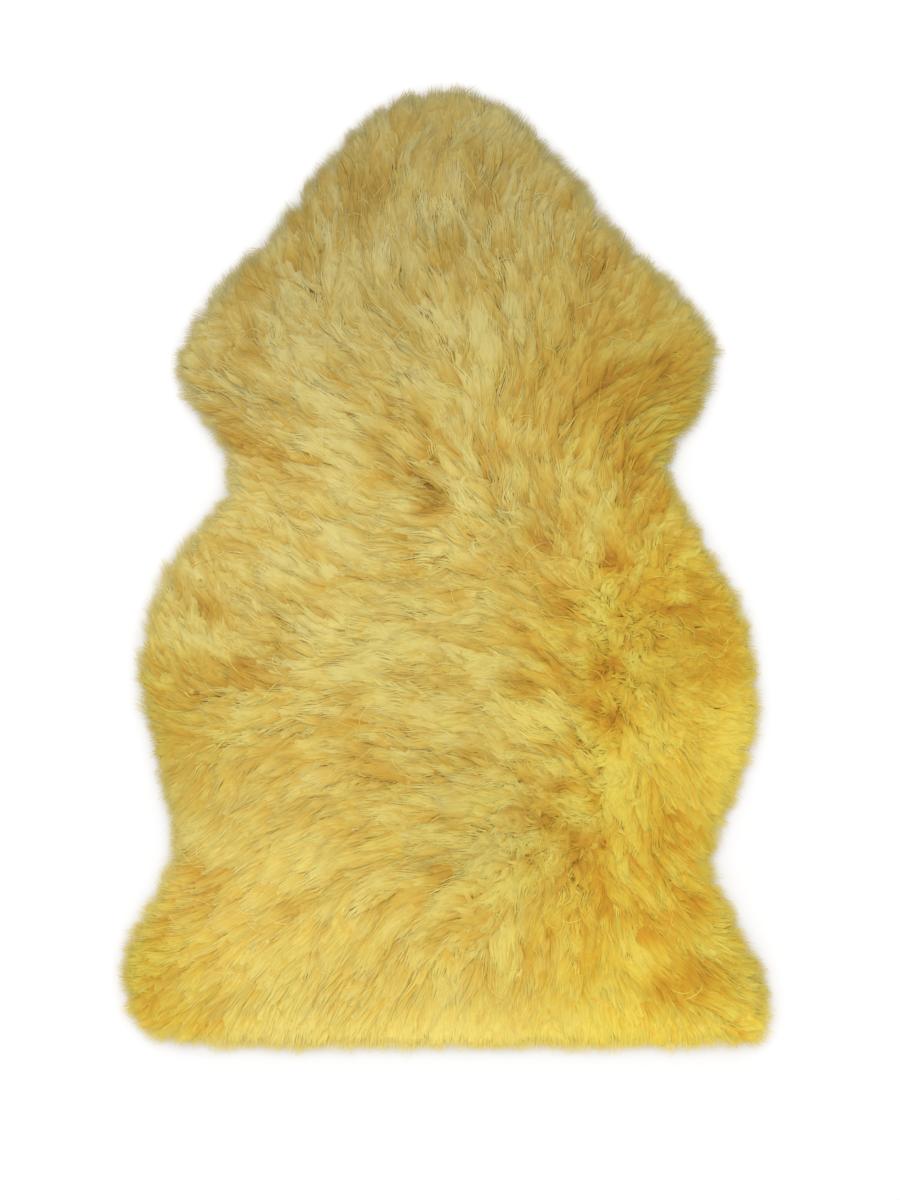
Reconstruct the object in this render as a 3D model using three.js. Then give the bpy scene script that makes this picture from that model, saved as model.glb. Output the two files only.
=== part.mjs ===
// A sheepskin rug: one tanned hide with its long combed wool, lying flat on the floor.
// Millimetres, +Z up. The neck end points to +Y and the tail end to -Y. The underside lies at Z = 0.
// The origin is the middle of the underside.
//
// The rug is one closed solid. Its heart is a lumpy slab of wool that rises from a low rim over a round
// shoulder to the full pile. Tufts on top lie along the nap. Around the rim the wool parts into locks, which
// stand apart from each other, taper to their tips and rest level on the floor.

import * as THREE from "three";

// Driving dimensions
const PILE_HEIGHT = 43; // combed wool over the floor, away from the rim
const SHOULDER_WIDTH = 74; // strip along the rim over which the pile rises to its full height
const LOCK_COUNT = 200; // locks around the rim, an even number
const LOCK_LENGTH = 27; // how far a lock stands out past the fused wool
const LOCK_HEIGHT = 17; // ridge of a lock at its root
const LOCK_LENGTH_SPREAD = 8; // most that a lock is shorter than its length
const LOCK_SWEEP = 0.45; // share of the nap in a lock's heading, against straight out
const LOCK_BEND = 0.3; // most that a lock's tip bends aside, as a share of its width
const LOCK_SEED = 7; // start of the random lengths and bends of the locks
const EDGE_SPAN = 6; // places to each side over which the edge's direction is taken, so that corners fan out
const RIDGE_DEPTH = 5; // the furrows between locks, where they run up the shoulder
const SPINE_TOP = 335; // the slab's rings close in on a line from here
const SPINE_BOTTOM = -335; // to here, along the middle of the rug
const SPINE_REACH = 0.93; // share of the way to that line at which the rings stop
const SPINE_LEVEL = 0.6; // how level the way to that line runs, from 0 (even steps) to 1 (level)
const FLAT_RINGS = 11; // rings between the shoulder and the middle

// Rings of the shoulder, by their distance in from the roots of the rim's locks
const FURROWED_RING_INSET = 14;
const SHOULDER_RING_INSETS = [32, 54];

// Tufts on the slab: mounds that lie along the nap, on a staggered lattice
const TUFT_PITCH = 40;
const TUFT_LENGTH = 33; // half length, where a mound has sunk to about a third
const TUFT_WIDTH = 14; // half width, likewise
const TUFT_HEIGHT = 7.5;
const TUFT_HEIGHT_SPREAD = 3.5;
const TUFT_SHIFT = 11; // how far a tuft may lie from its place on the lattice
const TUFT_REACH = 3; // half lengths past which a tuft adds nothing
const TUFT_SINK = 3.8; // how far the pile between tufts lies below the full height
const TUFT_SEED = 41; // start of the random places and heights of the tufts
const LATTICE_HALF_WIDTH = 330; // the lattice covers the rug out to here across
const LATTICE_HALF_LENGTH = 480; // and to here along
const RELIEF_LIMIT = 11; // most that tufts and partings together lift or sink the pile

// How quickly the pull of a reading of the nap falls off, and the little that is left of it far away
const NAP_BLEND = 52;
const NAP_FAR_PULL = 1e-6;

// The wool's edge, station by station from the neck to the tail: the place along the rug, and how far the
// tips reach to the left (-X) and to the right (+X) there
const EDGE_STATIONS = [
  { along: 474, left: -14, right: 12 },
  { along: 458, left: -65, right: 59 },
  { along: 427, left: -100, right: 93 },
  { along: 384, left: -133, right: 134 },
  { along: 325, left: -179, right: 178 },
  { along: 285, left: -219, right: 221 },
  { along: 246, left: -251, right: 256 },
  { along: 211, left: -266, right: 269 },
  { along: 167, left: -257, right: 258 },
  { along: 128, left: -226, right: 231 },
  { along: 96, left: -216, right: 221 },
  { along: 66, left: -225, right: 236 },
  { along: 10, left: -271, right: 268 },
  { along: -49, left: -297, right: 298 },
  { along: -108, left: -303, right: 307 },
  { along: -148, left: -296, right: 309 },
  { along: -207, left: -283, right: 292 },
  { along: -266, left: -270, right: 268 },
  { along: -295, left: -276, right: 263 },
  { along: -344, left: -302, right: 288 },
  { along: -384, left: -320, right: 309 },
  { along: -425, left: -317, right: 319 },
  { along: -455, left: -300, right: 320 },
  { along: -469, left: -255, right: 296 },
  { along: -472, left: -130, right: 170 },
];

// The nap: where the wool is combed to, in degrees from +X towards +Y, at places across and along the rug
const NAP_READINGS = [
  { across: -6, along: 450, heading: 80 },
  { across: -100, along: 390, heading: 108 },
  { across: 90, along: 400, heading: 48 },
  { across: -6, along: 340, heading: 90 },
  { across: -75, along: 300, heading: 97 },
  { across: 25, along: 290, heading: 120 },
  { across: 112, along: 295, heading: 86 },
  { across: 181, along: 285, heading: 54 },
  { across: -183, along: 256, heading: 122 },
  { across: -45, along: 226, heading: 134 },
  { across: 60, along: 226, heading: 95 },
  { across: 195, along: 226, heading: 45 },
  { across: -242, along: 197, heading: 160 },
  { across: -173, along: 177, heading: 145 },
  { across: -85, along: 165, heading: 150 },
  { across: 4, along: 157, heading: 138 },
  { across: 53, along: 138, heading: 75 },
  { across: 125, along: 145, heading: 52 },
  { across: 240, along: 185, heading: 20 },
  { across: -193, along: 115, heading: 168 },
  { across: -90, along: 105, heading: 157 },
  { across: 73, along: 69, heading: 125 },
  { across: 120, along: 69, heading: 92 },
  { across: 195, along: 65, heading: 50 },
  { across: -232, along: 39, heading: 142 },
  { across: -134, along: 25, heading: 148 },
  { across: -16, along: 20, heading: 174 },
  { across: 83, along: 10, heading: 155 },
  { across: 142, along: 25, heading: 92 },
  { across: 240, along: 10, heading: 25 },
  { across: -275, along: -60, heading: 106 },
  { across: -160, along: -45, heading: 148 },
  { across: -6, along: -50, heading: 178 },
  { across: 112, along: -60, heading: 160 },
  { across: 240, along: -70, heading: 335 },
  { across: 290, along: -90, heading: 12 },
  { across: -261, along: -118, heading: 166 },
  { across: -144, along: -130, heading: 188 },
  { across: -16, along: -148, heading: 170 },
  { across: 112, along: -157, heading: 152 },
  { across: 205, along: -190, heading: 298 },
  { across: 289, along: -170, heading: 352 },
  { across: -242, along: -216, heading: 230 },
  { across: -150, along: -226, heading: 208 },
  { across: -20, along: -230, heading: 180 },
  { across: 115, along: -235, heading: 162 },
  { across: -183, along: -295, heading: 212 },
  { across: -6, along: -285, heading: 184 },
  { across: 102, along: -300, heading: 250 },
  { across: 165, along: -290, heading: 292 },
  { across: 240, along: -290, heading: 318 },
  { across: -285, along: -350, heading: 165 },
  { across: -212, along: -360, heading: 216 },
  { across: -60, along: -360, heading: 236 },
  { across: 112, along: -375, heading: 262 },
  { across: 210, along: -360, heading: 316 },
  { across: 285, along: -380, heading: 335 },
  { across: -295, along: -415, heading: 222 },
  { across: -190, along: -430, heading: 248 },
  { across: 20, along: -440, heading: 265 },
  { across: 190, along: -440, heading: 284 },
];

// Partings and full tufts that stand out on the pile: how far each sinks or rises, and how wide it is
const PILE_FEATURES = [
  { name: "parting below the waist", across: -14, along: 72, rise: -13, radius: 20 },
  { name: "parting at the right shoulder", across: 80, along: 28, rise: -8, radius: 26 },
  { name: "parting in the middle", across: 80, along: -118, rise: -11, radius: 22 },
  { name: "tuft beside the middle parting", across: 98, along: -150, rise: 8, radius: 30 },
  { name: "parting below the neck", across: 10, along: 300, rise: -8, radius: 24 },
  { name: "seam of the nap on the left", across: -110, along: -72, rise: -7, radius: 34 },
  { name: "parting near the tail", across: 135, along: -262, rise: -9, radius: 24 },
  { name: "hollow above the left tail corner", across: -215, along: -318, rise: -8, radius: 32 },
];

// A small seeded source of random numbers from 0 to 1, so that every run gives the same rug.
function randomSource(seed) {
  let state = seed;
  return () => {
    state = (Math.imul(state, 1664525) + 1013904223) >>> 0;
    return state / 4294967296;
  };
}

// The rug's edge from the middle of the neck to the middle of the tail, down one side.
function sideCurve(side) {
  const first = EDGE_STATIONS[0];
  const last = EDGE_STATIONS[EDGE_STATIONS.length - 1];
  const points = EDGE_STATIONS.map((station) => new THREE.Vector2(station[side], station.along));
  points.unshift(new THREE.Vector2((first.left + first.right) / 2, first.along));
  points.push(new THREE.Vector2((last.left + last.right) / 2, last.along));
  return new THREE.SplineCurve(points);
}

// Evenly spaced places around the edge, two for each lock, anticlockwise from the middle of the neck.
function edgePlaces() {
  const down = sideCurve("left").getSpacedPoints(LOCK_COUNT);
  const up = sideCurve("right").getSpacedPoints(LOCK_COUNT).reverse();
  return [...down.slice(0, -1), ...up.slice(0, -1)];
}

// The direction straight out of the rug at each place on its edge.
function outwardDirections(places) {
  return places.map((_, i) => {
    const before = places[(i + places.length - EDGE_SPAN) % places.length];
    const after = places[(i + EDGE_SPAN) % places.length];
    return new THREE.Vector2(after.y - before.y, before.x - after.x).normalize();
  });
}

// The direction in which the wool is combed at a place, as a unit vector.
function napAt(place) {
  const sum = new THREE.Vector2();
  for (const reading of NAP_READINGS) {
    const distance = Math.hypot(place.x - reading.across, place.y - reading.along);
    const pull = Math.exp(-((distance / NAP_BLEND) ** 2)) + NAP_FAR_PULL;
    const heading = THREE.MathUtils.degToRad(reading.heading);
    sum.x += pull * Math.cos(heading);
    sum.y += pull * Math.sin(heading);
  }
  return sum.normalize();
}

// The tufts on the slab, each with its place, its lie and its height.
function makeTufts() {
  const random = randomSource(TUFT_SEED);
  const shift = () => (2 * random() - 1) * TUFT_SHIFT;
  const rowPitch = TUFT_PITCH * Math.sqrt(0.75);
  const tufts = [];
  for (let row = 0; row * rowPitch < 2 * LATTICE_HALF_LENGTH; row += 1) {
    const stagger = (row % 2) * 0.5 * TUFT_PITCH;
    for (let x = stagger - LATTICE_HALF_WIDTH; x < LATTICE_HALF_WIDTH; x += TUFT_PITCH) {
      const place = new THREE.Vector2(x + shift(), row * rowPitch - LATTICE_HALF_LENGTH + shift());
      const height = TUFT_HEIGHT + (2 * random() - 1) * TUFT_HEIGHT_SPREAD;
      tufts.push({ place, lie: napAt(place), height });
    }
  }
  return tufts;
}

// How far tufts, partings and full places lift or sink the pile at a place.
function reliefAt(place, tufts) {
  let relief = -TUFT_SINK;
  for (const tuft of tufts) {
    const dx = place.x - tuft.place.x;
    const dy = place.y - tuft.place.y;
    if (Math.hypot(dx, dy) < TUFT_REACH * TUFT_LENGTH) {
      const alongLie = (dx * tuft.lie.x + dy * tuft.lie.y) / TUFT_LENGTH;
      const acrossLie = (dy * tuft.lie.x - dx * tuft.lie.y) / TUFT_WIDTH;
      relief += tuft.height * Math.exp(-alongLie * alongLie - acrossLie * acrossLie);
    }
  }
  for (const feature of PILE_FEATURES) {
    const distance = Math.hypot(place.x - feature.across, place.y - feature.along);
    relief += feature.rise * Math.exp(-((distance / feature.radius) ** 2));
  }
  return RELIEF_LIMIT * Math.tanh(relief / RELIEF_LIMIT);
}

// The distance from a place to the nearest stretch of a closed line of places.
function distanceToLine(place, line) {
  let nearest = Infinity;
  for (let i = 0; i < line.length; i += 1) {
    const a = line[i];
    const b = line[(i + 1) % line.length];
    const dx = b.x - a.x;
    const dy = b.y - a.y;
    const share = ((place.x - a.x) * dx + (place.y - a.y) * dy) / (dx * dx + dy * dy);
    const t = THREE.MathUtils.clamp(share, 0, 1);
    nearest = Math.min(nearest, Math.hypot(place.x - a.x - t * dx, place.y - a.y - t * dy));
  }
  return nearest;
}

// Collects points and triangles of one closed surface. Corners run anticlockwise, seen from outside.
class Surface {
  constructor() {
    this.positions = [];
    this.corners = [];
  }

  point(place, z) {
    this.positions.push(place.x, place.y, z);
    return this.positions.length / 3 - 1;
  }

  triangle(a, b, c) {
    this.corners.push(a, b, c);
  }

  quad(a, b, c, d) {
    this.triangle(a, b, c);
    this.triangle(a, c, d);
  }

  // Joins two closed rings of as many points, facing up, or down if turned.
  joinRings(outer, inner, turned = false) {
    outer.forEach((corner, i) => {
      const next = (i + 1) % outer.length;
      if (turned) {
        this.quad(corner, inner[i], inner[next], outer[next]);
      } else {
        this.quad(corner, outer[next], inner[next], inner[i]);
      }
    });
  }

  // Joins an outer ring to an inner one with half as many points, facing up.
  joinToHalf(outer, inner) {
    inner.forEach((corner, i) => {
      const start = outer[2 * i];
      const middle = outer[2 * i + 1];
      const end = outer[(2 * i + 2) % outer.length];
      const next = inner[(i + 1) % inner.length];
      this.triangle(start, middle, corner);
      this.triangle(middle, next, corner);
      this.triangle(middle, end, next);
    });
  }

  // Closes the narrow ring along the middle by joining its left side to its right, facing up, or down if turned.
  closeSlit(ring, turned = false) {
    const face = (a, b, c) => (turned ? this.triangle(a, c, b) : this.triangle(a, b, c));
    const half = ring.length / 2;
    for (let i = 0; i < half; i += 1) {
      const rightUpper = ring[(ring.length - i) % ring.length];
      const rightLower = ring[ring.length - i - 1];
      if (i < half - 1) {
        face(ring[i], ring[i + 1], rightLower);
      }
      if (i > 0) {
        face(ring[i], rightLower, rightUpper);
      }
    }
  }

  geometry() {
    const made = new THREE.BufferGeometry();
    made.setAttribute("position", new THREE.Float32BufferAttribute(this.positions, 3));
    made.setIndex(this.corners);
    return made;
  }
}

// The place on the middle line that a place on the rim closes in on, given its share of the way round.
function spinePlace(place, share) {
  const evenly = share < 0.5 ? 2 * share : 2 - 2 * share;
  const neck = EDGE_STATIONS[0].along;
  const tail = EDGE_STATIONS[EDGE_STATIONS.length - 1].along;
  const level = (neck - place.y) / (neck - tail);
  const down = THREE.MathUtils.lerp(evenly, level, SPINE_LEVEL);
  return new THREE.Vector2(0, THREE.MathUtils.lerp(SPINE_TOP, SPINE_BOTTOM, down));
}

// The sections of a rim lock between its root and its tip: how far along it each lies, and its size as a
// share of the root's
const LOCK_SECTIONS = [
  { reach: 0.38, width: 0.7, height: 0.68 },
  { reach: 0.74, width: 0.36, height: 0.36 },
];

// One lock: three sides, level underneath, from its root between two gaps in the rim out to its tip.
function addLock(surface, root, heading, length, bend) {
  const side = new THREE.Vector2(-heading.y, heading.x);
  const centre = (reach) =>
    root.place
      .clone()
      .addScaledVector(heading, length * reach)
      .addScaledVector(side, bend * reach * reach);
  let section = root;
  for (const { reach, width, height } of LOCK_SECTIONS) {
    const middle = centre(reach);
    const half = 0.5 * width * root.width;
    const next = {
      first: surface.point(middle.clone().addScaledVector(side, -half), 0),
      last: surface.point(middle.clone().addScaledVector(side, half), 0),
      ridge: surface.point(middle, height * LOCK_HEIGHT),
    };
    surface.quad(next.first, next.ridge, section.ridge, section.first);
    surface.quad(next.ridge, next.last, section.last, section.ridge);
    surface.quad(section.first, section.last, next.last, next.first);
    section = next;
  }
  const tip = surface.point(centre(1), 0);
  surface.triangle(tip, section.ridge, section.first);
  surface.triangle(tip, section.last, section.ridge);
  surface.triangle(section.first, section.last, tip);
}

function buildSheepskin() {
  const random = randomSource(LOCK_SEED);
  const surface = new Surface();
  const tufts = makeTufts();
  const edge = edgePlaces();
  const outward = outwardDirections(edge);
  const rim = edge.map((place, i) => place.clone().addScaledVector(outward[i], -LOCK_LENGTH));

  // Height of the pile: a quarter round over the shoulder, with the relief growing as the pile does
  const pileAt = (place) => {
    const inset = Math.min(1, distanceToLine(place, rim) / SHOULDER_WIDTH);
    const rise = Math.sqrt(1 - (1 - inset) ** 2);
    return LOCK_HEIGHT + rise * (PILE_HEIGHT - LOCK_HEIGHT + reliefAt(place, tufts));
  };

  // A place on the way from the rim to the middle line, by distance or by share of the way
  const spineOf = (i) => spinePlace(edge[i], i / edge.length);
  const insetBy = (i, distance) => rim[i].clone().lerp(spineOf(i), distance / rim[i].distanceTo(spineOf(i)));

  // Rim: gaps on the floor and the locks' ridges between them, by turns
  const rimRing = rim.map((place, i) => surface.point(place, i % 2 === 0 ? 0 : LOCK_HEIGHT));

  // Furrows between the locks run up the shoulder
  const furrowedRing = rim.map((_, i) => {
    const place = insetBy(i, FURROWED_RING_INSET);
    const furrow = i % 2 === 0 ? -RIDGE_DEPTH : 0;
    return surface.point(place, pileAt(place) + furrow);
  });
  surface.joinRings(rimRing, furrowedRing);

  // The rest of the shoulder, then the flat of the rug, with one point for each lock
  const gaps = rim.map((_, i) => i).filter((i) => i % 2 === 0);
  const lastInset = SHOULDER_RING_INSETS[SHOULDER_RING_INSETS.length - 1];
  const placeRings = SHOULDER_RING_INSETS.map((inset) => gaps.map((i) => insetBy(i, inset)));
  for (let ring = 1; ring <= FLAT_RINGS; ring += 1) {
    placeRings.push(
      gaps.map((i) => {
        const innermost = rim[i].clone().lerp(spineOf(i), SPINE_REACH);
        return insetBy(i, lastInset).lerp(innermost, ring / FLAT_RINGS);
      }),
    );
  }
  const topRings = placeRings.map((ring) => ring.map((place) => surface.point(place, pileAt(place))));
  surface.joinToHalf(furrowedRing, topRings[0]);
  for (let ring = 1; ring < topRings.length; ring += 1) {
    surface.joinRings(topRings[ring - 1], topRings[ring]);
  }
  surface.closeSlit(topRings[topRings.length - 1]);

  // Underside: level, from the gaps in the rim to the middle line
  const gapRing = gaps.map((i) => rimRing[i]);
  const innerFloor = placeRings[placeRings.length - 1].map((place) => surface.point(place, 0));
  surface.joinRings(gapRing, innerFloor, true);
  surface.closeSlit(innerFloor, true);

  // Locks around the rim, swept towards the nap where it runs along the edge
  gaps.forEach((gap, lock) => {
    const middle = gap + 1;
    const nextGap = (gap + 2) % rim.length;
    const heading = outward[middle].clone();
    const lie = napAt(edge[middle]);
    const sideways = lie.clone().addScaledVector(heading, -lie.dot(heading));
    heading.addScaledVector(sideways, LOCK_SWEEP).normalize();
    const root = {
      place: rim[middle],
      first: rimRing[gap],
      last: rimRing[nextGap],
      ridge: rimRing[middle],
      width: rim[gap].distanceTo(rim[nextGap]),
    };
    const length = (LOCK_LENGTH - LOCK_LENGTH_SPREAD * random()) / heading.dot(outward[middle]);
    const bend = (2 * random() - 1) * LOCK_BEND * root.width;
    addLock(surface, root, heading, length, bend);
  });

  const geometry = surface.geometry();
  geometry.computeBoundingBox();
  const middle = geometry.boundingBox.getCenter(new THREE.Vector3());
  geometry.translate(-middle.x, -middle.y, 0);
  geometry.computeVertexNormals();
  return geometry;
}

const dyedWool = new THREE.MeshStandardMaterial({ color: 0xcfb257, roughness: 0.85, metalness: 0 });

const sheepskin = new THREE.Mesh(buildSheepskin(), dyedWool);
sheepskin.name = "sheepskin";

const rug = new THREE.Group();
rug.add(sheepskin);

export default rug;
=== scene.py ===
# %% [markdown]
# # A golden sheepskin rug
#
# A sheepskin rug is one tanned hide with the wool still growing from it, dyed and combed. The part's solid
# gives the rug's size and the lumpy top of its pile. This script dresses that solid with a thin hide, a bed
# of short underwool, and more than a hundred thousand fine fibres that lie the way the comb left them.
#
# Everything sits in the part's own frame, in metres. Sizes are written in millimetres and multiplied by MM.

import bpy
import numpy as np
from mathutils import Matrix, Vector
from mathutils.bvhtree import BVHTree


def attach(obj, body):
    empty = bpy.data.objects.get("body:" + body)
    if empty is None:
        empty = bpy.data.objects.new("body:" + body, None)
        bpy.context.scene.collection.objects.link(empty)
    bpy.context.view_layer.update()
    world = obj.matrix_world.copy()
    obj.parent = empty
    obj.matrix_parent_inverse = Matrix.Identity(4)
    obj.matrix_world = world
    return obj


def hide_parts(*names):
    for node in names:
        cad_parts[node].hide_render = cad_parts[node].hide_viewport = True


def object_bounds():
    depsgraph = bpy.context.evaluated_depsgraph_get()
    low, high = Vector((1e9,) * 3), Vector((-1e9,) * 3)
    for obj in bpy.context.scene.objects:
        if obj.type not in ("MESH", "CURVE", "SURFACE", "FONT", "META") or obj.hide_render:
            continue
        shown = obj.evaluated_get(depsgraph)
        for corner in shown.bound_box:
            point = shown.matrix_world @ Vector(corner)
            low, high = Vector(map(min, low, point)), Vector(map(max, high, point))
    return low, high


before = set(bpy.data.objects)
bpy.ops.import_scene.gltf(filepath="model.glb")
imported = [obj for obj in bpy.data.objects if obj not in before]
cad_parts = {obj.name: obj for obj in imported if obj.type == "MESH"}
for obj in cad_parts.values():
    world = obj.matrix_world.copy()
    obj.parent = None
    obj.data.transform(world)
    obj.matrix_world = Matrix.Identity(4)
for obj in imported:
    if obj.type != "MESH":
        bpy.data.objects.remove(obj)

cad_low, cad_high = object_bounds()
MM = 0.001
print("the solid's box, mm:", [round(side / MM, 1) for side in cad_high - cad_low])

# %% [markdown]
# ## Camera
#
# The rug lies on the floor and is seen straight from above, with its neck at the top. A wide lens close up
# would swell the middle of the pile, so a long lens looks down from far away. Its height follows from the
# length of floor that the picture has to hold.

# %% Camera
PHOTO_WIDTH = 900  # pixels
PHOTO_HEIGHT = 1200
MM_PER_PIXEL = 0.9834  # 950 mm of rug over 966 pixels
ORIGIN_PIXEL = (444.9, 569.5)  # the pixel that shows the part's origin
LENS = 85  # mm
SENSOR = 36  # mm, along the picture's long side
EDGE_LEVEL = 8  # mm over the floor, where the wool's edge sets the scale

view_height = PHOTO_HEIGHT * MM_PER_PIXEL
camera = bpy.data.objects.new("camera", bpy.data.cameras.new("camera"))
camera.data.lens = LENS
camera.data.sensor_width = SENSOR
camera.location = MM * Vector((
    (PHOTO_WIDTH / 2 - ORIGIN_PIXEL[0]) * MM_PER_PIXEL,
    (ORIGIN_PIXEL[1] - PHOTO_HEIGHT / 2) * MM_PER_PIXEL,
    EDGE_LEVEL + view_height * LENS / SENSOR,
))
bpy.context.scene.collection.objects.link(camera)
bpy.context.scene.camera = camera
print("camera height, m:", round(camera.location.z, 2))

# %% [markdown]
# ## The wool's edge
#
# The skin keeps the animal's outline: a domed neck, two shoulders, a waist, wide flanks and two splayed
# corners at the tail. It could be drawn with Bezier handles, but a short table of stations with a smooth
# curve through them is easier to read and to correct. The part's solid has the same stations.

# %% The wool's edge
# along the rug, reach to the left and reach to the right, in mm
EDGE_STATIONS = np.array([
    (474, -14, 12), (458, -65, 59), (427, -100, 93), (384, -133, 134), (325, -179, 178),
    (285, -219, 221), (246, -251, 256), (211, -266, 269), (167, -257, 258), (128, -226, 231),
    (96, -216, 221), (66, -225, 236), (10, -271, 268), (-49, -297, 298), (-108, -303, 307),
    (-148, -296, 309), (-207, -283, 292), (-266, -270, 268), (-295, -276, 263), (-344, -302, 288),
    (-384, -320, 309), (-425, -317, 319), (-455, -300, 320), (-469, -255, 296), (-472, -130, 170),
], float)
TABLE_SHIFT = np.array((1.1, -0.5))  # from the tables' zero to the part's origin
CURVE_STEPS = 12  # places on the curve between two stations
EDGE_PLACES = 480


def smooth_curve(points):
    """Places on a smooth curve that goes through the points."""
    padded = np.vstack([points[:1], points, points[-1:]])
    t = np.linspace(0, 1, CURVE_STEPS, endpoint=False)[:, None]
    places = []
    for a, b, c, d in zip(padded, padded[1:], padded[2:], padded[3:]):
        cubic = 3 * (b - c) + d - a
        places.append(b + t / 2 * (c - a + t * (2 * a - 5 * b + 4 * c - d + t * cubic)))
    return np.vstack(places)


def evenly(line, count):
    """As many places as asked for, evenly spaced around a closed line."""
    closed = np.vstack([line, line[:1]])
    way = np.concatenate([[0], np.cumsum(np.linalg.norm(np.diff(closed, axis=0), axis=1))])
    stops = np.linspace(0, way[-1], count, endpoint=False)
    return np.column_stack([np.interp(stops, way, closed[:, k]) for k in (0, 1)])


def one_side(reach):
    """The edge down one side, from the middle of the neck to the middle of the tail."""
    along = EDGE_STATIONS[:, 0]
    across = EDGE_STATIONS[:, reach]
    middles = EDGE_STATIONS[[0, -1], 1:].mean(axis=1)
    points = np.column_stack([across, along])
    points = np.vstack([(middles[0], along[0]), points, (middles[1], along[-1])])
    return smooth_curve(points) + TABLE_SHIFT


wool_edge = evenly(np.vstack([one_side(1), one_side(2)[::-1]]), EDGE_PLACES)
print("edge, mm:", np.ptp(wool_edge, axis=0).round(1))

# %% [markdown]
# ## The pile's height
#
# The top of the wool is lumpy, with mounds that lie along the nap and hollows at the partings. The solid
# already holds the broad form, so the script looks down on it from above and reads a height at each place
# of a grid. Near the edge the solid is parted into locks, so there a plain round slope takes over. Tufts
# that stand up and small hollows between locks are added from two tables, one row for each.

# %% The pile's height
GRID_STEP = 4  # mm
GRID_HALF = (344, 500)  # mm, a little past the wool
TIP_HEIGHT = 8  # mm, how high the wool still is at its very edge
SLOPE_WIDTH = 100  # mm of wool over which the pile falls to the edge
SLOPE_ROUNDNESS = 2.0
PILE_HEIGHT = 43  # mm
RELIEF_FROM = 35  # mm in from the edge, where the solid's mounds start to show
RELIEF_FULL = 75
# across and along the rug, radius and height, all in mm
TUFTS = np.array([
    (91, -140, 22, 6), (112, -157, 20, 5), (59, -87, 10, 5), (19, 37, 22, 6), (-115, -61, 16, 6),
    (-89, -57, 14, 6), (-238, -261, 14, 5), (-21, -214, 12, 4), (-24, 352, 18, 5), (3, 340, 16, 6),
    (-63, 400, 18, 3), (52, 443, 10, 4), (-151, 262, 12, 4), (103, -283, 10, 5), (39, -341, 10, 4),
    (-15, -217, 14, 5), (113, -199, 10, 4), (236, -339, 8, 3), (175, -426, 10, 3),
], float)
HOLLOWS = np.array([
    (-10, 72, 13, 17), (-17, 56, 11, 8), (-28, 96, 8, 10), (-56, 101, 8, 10), (-46, 82, 6, 6),
    (49, 112, 7, 8), (59, 118, 6, 6), (85, 35, 9, 14), (97, 21, 9, 12), (73, -63, 8, 8), (81, -74, 6, 7),
    (67, -111, 9, 13), (82, -118, 8, 13), (121, -76, 7, 10), (105, -85, 6, 9), (148, -103, 8, 10),
    (162, -91, 7, 7), (140, -132, 8, 12), (164, -145, 8, 9), (97, -170, 6, 8), (124, -167, 6, 7),
    (158, 9, 10, 8), (175, 6, 8, 8), (182, 100, 9, 6), (-207, 93, 10, 5), (-205, 60, 8, 5),
    (-226, -1, 8, 6), (-228, -40, 10, 5), (-197, -94, 9, 8), (-160, -75, 10, 6), (-154, -177, 8, 6),
    (-255, -278, 8, 6), (-234, -312, 12, 8), (-287, -370, 10, 9), (-300, -389, 8, 6), (-154, -327, 12, 5),
    (-8, -286, 10, 8), (-67, 367, 20, 6), (-141, 344, 14, 5), (-191, 264, 10, 6), (-83, 342, 14, 6),
    (22, 416, 14, 5), (-30, 397, 6, 5), (33, 364, 13, 9), (0, 305, 13, 8), (22, 274, 18, 5),
    (135, 311, 12, 7), (103, 304, 10, 7), (147, 288, 9, 7), (126, 249, 10, 6), (210, 248, 9, 7),
    (111, -212, 8, 10), (144, -225, 7, 8), (99, -245, 9, 10), (123, -257, 8, 9), (138, -287, 6, 9),
    (151, -267, 6, 7), (79, -279, 6, 6), (-1, -249, 8, 7), (57, -335, 5, 6), (140, -307, 5, 6),
    (77, -374, 6, 6), (15, -409, 5, 5), (236, -397, 18, 9), (211, -405, 12, 6), (103, -355, 5, 6),
    (148, -333, 8, 6), (-22, -361, 6, 5), (-111, 188, 6, 7), (-134, 194, 6, 6), (-152, 188, 6, 5),
    (-147, 214, 9, 5), (-99, 214, 9, 5), (-193, 167, 6, 5), (-235, 206, 10, 5), (-18, 143, 9, 8),
    (-61, 120, 7, 6), (2, 181, 8, 5), (-53, 180, 5, 5), (-195, 230, 7, 4), (139, 221, 10, 7),
    (171, 233, 8, 6), (212, 207, 10, 6), (179, 155, 7, 6), (148, 175, 12, 5), (131, 144, 10, 5),
    (171, 125, 8, 6), (92, 181, 8, 5), (34, 127, 8, 6),
], float)
HOLLOW_SINK = 0.15  # how much of a hollow's depth the top of the wool follows; the rest of it is only painted shade
FULL_TUFT = 6  # mm of height that gives a tuft its fullest painted highlight
DEEP_HOLLOW = 9  # mm of depth that gives a hollow its fullest painted shade, amber and darker
print("tufts:", len(TUFTS), "hollows:", len(HOLLOWS))

# %% Helpers that read and blend places
TINY = 1e-9  # mm, stands in for zero where something is divided by it
PLACES_AT_ONCE = 2000  # so that the tables of distances stay small
LAST_CELL = 1.001  # steps back from the grid's far side, just inside its last cell

grid_x = np.arange(-GRID_HALF[0], GRID_HALF[0] + 1, GRID_STEP)
grid_y = np.arange(-GRID_HALF[1], GRID_HALF[1] + 1, GRID_STEP)
grid_places = np.stack(np.meshgrid(grid_x, grid_y, indexing="ij"), axis=-1).reshape(-1, 2)
shape = (len(grid_x), len(grid_y))


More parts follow.
